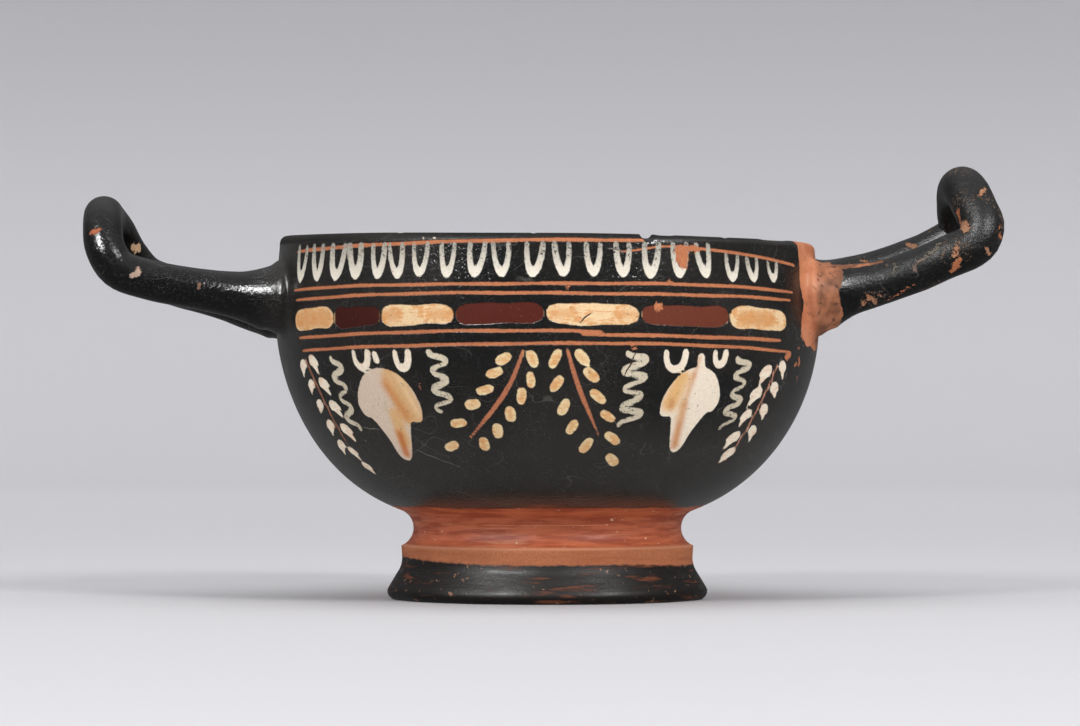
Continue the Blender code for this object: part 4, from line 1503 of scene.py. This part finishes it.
# Thin paint lets the gloss show between the grains of the slip.
grains = between(tree, spread(tree, 1.9, detail=3.0, roughness=0.7, shift=(5, 5, 2)), 0.3, 0.7)
THIN_SOFTNESS = 0.12
showing = minus(tree, plus(tree, grains, THIN_SOFTNESS), kept_value(tree, "paint_thin"))
showing = between(tree, showing, -THIN_SOFTNESS, THIN_SOFTNESS)
covered = times(tree, edge_mask(tree, "paint", 0.16, 1.3), showing)
surface = laid_over(tree, surface, colours, covered)
SOILED_OUT = (59.5 * MM, 61.5 * MM)  # the fill is dirtier out on the handle
soiled = between(tree, calc(tree, "ABSOLUTE", object_axes(tree)[0]), *SOILED_OUT)
clay_now = put(tree, "ShaderNodeAttribute", attribute_name="flaked_tint").outputs["Color"]
bared = finish_of(tree, clay, {"Tint": clay_now})
surface = laid_over(tree, surface, bared, edge_mask(tree, "flaked", 1.0, 1.6))
mended = finish_of(tree, filler, {"Soiling": soiled})
surface = laid_over(tree, surface, mended, edge_mask(tree, "fill", 0.6, 0.8))
DARK_CRACK, PALE_SCRATCH = linear(58, 38, 28), linear(116, 110, 102)
for lines, mark in (("cracks", DARK_CRACK), ("scratches", PALE_SCRATCH)):
    mask = line_mask(tree, lines, 0.12, 2.0, 0.06)
    surface["Colour"] = mixed(tree, mask, surface["Colour"], mark)
finished(tree, surface)

# ------------------------------------------------------------------------------------------------------------
# The foot: the potter left it reserved and washed it with thin red slip. Only its flared edge was dipped in
# the gloss, which is brown and streaked there. The hollow under it is bare clay.
# ------------------------------------------------------------------------------------------------------------
DIPPED_HEIGHT = 8.9
FOOT_TOP = 22.5  # from here up the wall has the gloss's own material
# The heights where one coat passes into the next, of a painted highlight on the ridge's edge, and of two
# lines
# round the stem: a painted highlight and a raised line.
WASH_EDGE, BROWN_EDGE, GLOSS_EDGE = (12.2, 13.0), (21.1, 21.6), (21.8, 22.6)
RIDGE_HIGHLIGHT_HEIGHT, LINE_HIGHLIGHT_HEIGHT, RAISED_LINE = 12.3, 17.5, 18.2
FOOT_CLAY, CLAY_STREAK = linear(188, 116, 78), linear(158, 88, 56)
WASH_LIGHT, WASH_DARK, WASH_RUBBED = linear(204, 112, 73), linear(164, 79, 52), linear(214, 142, 106)
LINE_HIGHLIGHT_TINT, PALE_CRUMB, RIDGE_HIGHLIGHT_TINT = linear(224, 152, 114), linear(232, 196, 168), linear(218, 154, 120)
BROWN_GLOSS, DIP_BLACK, DIP_BROWN = linear(110, 64, 44), linear(26, 21, 18), linear(116, 66, 42)
DIP_FLECK = linear(158, 116, 86)
foot_dark = Coat()
dip = DIPPED_HEIGHT + 0.7 * np.sin(np.radians(turn_now - 160)) + 0.25 * np.sin(np.radians(3.4 * turn_now))
foot_dark.depth = np.clip(dip - places[:, 2], FAR, DEEP)
foot_dark.save("foot_dark")

foot_bands = bpy.data.materials.new("foot_bands")
tree = material_tree(foot_bands)
height = calc(tree, "DIVIDE", object_axes(tree)[2], MM)
wavering = plus(tree, height, times(tree, minus(tree, spread(tree, 0.12, detail=3.0), 0.5), 1.2))


def near_height(tree, centre, fades_from, fades_to, strength):
    """A line round the foot at a height in millimetres, faded out on both sides."""
    away = calc(tree, "ABSOLUTE", minus(tree, height, centre))
    return between(tree, away, fades_from, fades_to, 0.0, strength)


streaks = spread(tree, 0.09, (1, 1, 9), detail=4.0, roughness=0.6)
bare = finish_of(tree, clay, {"Tint": (*FOOT_CLAY, 1.0)})
turned_streaks = spread(tree, 0.16, (0.35, 0.35, 6), detail=3.0, shift=(4, 9, 2))
bare["Colour"] = mixed(tree, between(tree, turned_streaks, 0.45, 0.7, 0.0, 0.5), bare["Colour"], CLAY_STREAK)
wash = dict(bare)
wash["Colour"] = mixed(tree, between(tree, streaks, 0.35, 0.68), WASH_LIGHT, WASH_DARK)
rubbed_lines = between(tree, turned_streaks, 0.6, 0.68, 0.0, 0.55)
wash["Colour"] = mixed(tree, rubbed_lines, wash["Colour"], WASH_RUBBED)
# A painted highlight along a line round the stem, broken up by a pattern.
painted_line_highlight = near_height(tree, LINE_HIGHLIGHT_HEIGHT, 0.2, 0.05, 0.6)
painted_line_highlight = times(tree, painted_line_highlight, between(tree, spread(tree, 0.1, detail=2.0), 0.4, 0.55))
wash["Colour"] = mixed(tree, painted_line_highlight, wash["Colour"], LINE_HIGHLIGHT_TINT)
crumbs = spread(tree, 1.1, (0.6, 0.6, 1.4), detail=2.0, shift=(2, 2, 7))
crumbs = between(tree, crumbs, 0.69, 0.73, 0.0, 0.8)
wash["Colour"] = mixed(tree, crumbs, wash["Colour"], PALE_CRUMB)
wash["Roughness"] = between(tree, streaks, 0.3, 0.7, 0.38, 0.5)
surface = laid_over(tree, bare, wash, between(tree, wavering, *WASH_EDGE))
# A painted highlight along the ridge's edge.
painted_ridge_highlight = near_height(tree, RIDGE_HIGHLIGHT_HEIGHT, 0.45, 0.1, 0.6)
surface["Colour"] = mixed(tree, painted_ridge_highlight, surface["Colour"], RIDGE_HIGHLIGHT_TINT)
raised = near_height(tree, RAISED_LINE, 0.9, 0.0, 0.16)
surface["Height"] = plus(tree, surface["Height"], raised)
slip = finish_of(tree, gloss)
brown = dict(slip)
brown["Colour"] = mixed(tree, between(tree, streaks, 0.5, 0.7), slip["Colour"], BROWN_GLOSS)
surface = laid_over(tree, surface, brown, between(tree, wavering, *BROWN_EDGE))
surface = laid_over(tree, surface, slip, between(tree, wavering, *GLOSS_EDGE))
dipped = dict(slip)
dipped["Colour"] = mixed(tree, between(tree, streaks, 0.54, 0.72), DIP_BLACK, DIP_BROWN)
flecks = between(tree, spread(tree, 0.7, detail=2.0, shift=(6, 3, 9)), 0.66, 0.72, 0.0, 0.8)
dipped["Colour"] = mixed(tree, flecks, dipped["Colour"], DIP_FLECK)
dipped["Roughness"] = between(tree, streaks, 0.3, 0.7, 0.4, 0.53)
dipped["Height"] = times(tree, slip["Height"], 0.4)
surface = laid_over(tree, surface, dipped, edge_mask(tree, "foot_dark", 0.4, 0.5, 0.25))
finished(tree, surface)
cup.data.materials.clear()
cup.data.materials.append(painted_gloss)
cup.data.materials.append(foot_bands)

centres = np.empty(len(cup.data.polygons) * 3, np.float32)
cup.data.polygons.foreach_get("center", centres)
centres = centres.reshape(-1, 3) / MM
from_axis = np.hypot(centres[:, 0], centres[:, 1])
inside_cup = (centres[:, 2] > FLOOR_HEIGHT - 1) & (from_axis < BOWL_END[0] - WALL_THICKNESS)
foot_faces = (centres[:, 2] < FOOT_TOP) & ~inside_cup
cup.data.polygons.foreach_set("material_index", np.where(foot_faces, 1, 0).astype(np.int32))
cup.data.update()

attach(cup, "root")
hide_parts("cup_skyphos")

# ------------------------------------------------------------------------------------------------------------
# The studio: a round cove of pale paper that is floor and backdrop at once, two soft boxes, a cloth of light
# overhead, two lamps that only the gloss reflects, and the camera. Sizes are in metres.
# ------------------------------------------------------------------------------------------------------------
COVE_FLAT, COVE_TURN, COVE_TOP_HEIGHT, COVE_STEPS = 1.28, 0.9, 1.5, 96
cove_bend = arc((COVE_FLAT, COVE_TURN), COVE_TURN, -90, 0, 24)
cove_line = np.vstack((cove_bend, [(COVE_FLAT + COVE_TURN, COVE_TOP_HEIGHT)]))
cove_wall = bpy.data.meshes.new("studio_cove")
corners, faces = [], []
for i in range(COVE_STEPS):
    angle = 2 * math.pi * i / COVE_STEPS
    corners += [(r * math.cos(angle), r * math.sin(angle), h) for r, h in cove_line]
corners.append((0.0, 0.0, 0.0))
each = len(cove_line)
for i in range(COVE_STEPS):
    a, b = i * each, (i + 1) % COVE_STEPS * each
    faces.append((len(corners) - 1, a, b))
    faces += [(a + k, a + k + 1, b + k + 1, b + k) for k in range(each - 1)]
cove_wall.from_pydata(corners, [], faces)
cove_wall.polygons.foreach_set("use_smooth", [True] * len(faces))
studio_cove = bpy.data.objects.new("studio_cove", cove_wall)
bpy.context.scene.collection.objects.link(studio_cove)
pale = bpy.data.materials.new("pale_paper")
tree = material_tree(pale)
# The paper is given painted shade: a touch greyer where the cup stands, as a painted shadow, towards the top
# of the backdrop, and nearer to the lamps, where their light would otherwise burn it out.
PAPER_SHADOW_BY_CUP, PAPER_FAR = linear(206, 205, 208), linear(228, 227, 230)
PAPER_SHADE_HIGH, PAPER_SHADE_BY_LAMPS = linear(195, 194, 198), linear(184, 183, 187)
from_cup = put(tree, "ShaderNodeTexCoord").outputs["Object"]
far_out = put(tree, "ShaderNodeVectorMath", {0: from_cup}, operation="LENGTH").outputs["Value"]
high_up = put(tree, "ShaderNodeSeparateXYZ", {0: from_cup}).outputs[2]
tone = mixed(tree, between(tree, far_out, 0.3, 1.3), PAPER_SHADOW_BY_CUP, PAPER_FAR)
tone = mixed(tree, between(tree, high_up, 0.06, 0.34), tone, PAPER_SHADE_HIGH)
to_lamps = put(tree, "ShaderNodeSeparateXYZ", {0: from_cup}).outputs[1]
tone = mixed(tree, between(tree, to_lamps, -0.45, -1.1), tone, PAPER_SHADE_BY_LAMPS)
paper = put(tree, "ShaderNodeBsdfPrincipled", {"Base Color": tone, "Roughness": 0.9})
put(tree, "ShaderNodeOutputMaterial", {"Surface": paper.outputs[0]})
studio_cove.data.materials.append(pale)
studio_cove.visible_glossy = False  # black cloths at the sides keep the pale paper out of the gloss

# The room is dim near the floor and bright overhead.
ROOM_LOW, ROOM_HIGH = 0.146, 0.56
world = bpy.data.worlds.new("studio_air")
bpy.context.scene.world = world
world.use_nodes = True
air = world.node_tree
outlook = put(air, "ShaderNodeTexCoord").outputs["Generated"]
upwards = put(air, "ShaderNodeSeparateXYZ", {0: outlook}).outputs[2]
brightness = between(air, upwards, 0.3, 0.98, ROOM_LOW, ROOM_HIGH)
air.nodes["Background"].inputs["Color"].default_value = (0.97, 0.98, 1.0, 1.0)
air.links.new(brightness, air.nodes["Background"].inputs["Strength"])

AIM = Vector((0, 0, 0.05))  # where the lamps point: half-way up the cup and its handles


def soft_box(name, turn_at, elevation, distance, width, tall, power, lights_gloss=True, lights_clay=True):
    """A lamp with a lit rectangle. Turn from the front and elevation are in degrees, and power in watts."""
    lamp = bpy.data.lights.new(name, "AREA")
    lamp.shape = "RECTANGLE"
    lamp.size, lamp.size_y, lamp.energy = width, tall, power
    box = bpy.data.objects.new(name, lamp)
    bpy.context.scene.collection.objects.link(box)
    turned, raised = math.radians(turn_at), math.radians(elevation)
    level = math.cos(raised)
    direction = Vector((math.sin(turned) * level, -math.cos(turned) * level, math.sin(raised)))
    box.location = AIM + direction * distance
    box.rotation_euler = direction.to_track_quat("Z", "Y").to_euler()
    box.visible_glossy, box.visible_diffuse = lights_gloss, lights_clay


soft_box("left_soft_box", -40, 33, 1.9, 0.34, 0.44, 10.8)
soft_box("right_soft_box", 40, 33, 1.9, 0.4, 0.5, 15.4)
soft_box("overhead_cloth", 0, 88, 2.0, 2.0, 2.0, 17, lights_gloss=False)
soft_box("left_gleam", -42, 36, 1.9, 0.6, 0.6, 36, lights_clay=False)
soft_box("right_gleam", 42, 36, 1.9, 0.4, 0.4, 12, lights_clay=False)

CAMERA_PLACE, CAMERA_TILT = (-0.00167, -1.182, 0.0502), 0.175  # looking up by that many degrees
lens = bpy.data.cameras.new("camera")
lens.sensor_width, lens.lens = 36.0, 172.2
lens.clip_start, lens.clip_end = 0.05, 20.0
camera = bpy.data.objects.new("camera", lens)
bpy.context.scene.collection.objects.link(camera)
camera.location = CAMERA_PLACE
camera.rotation_euler = (math.radians(90 + CAMERA_TILT), 0.0, 0.0)
bpy.context.scene.camera = camera
bpy.context.scene.view_settings.view_transform = "Standard"
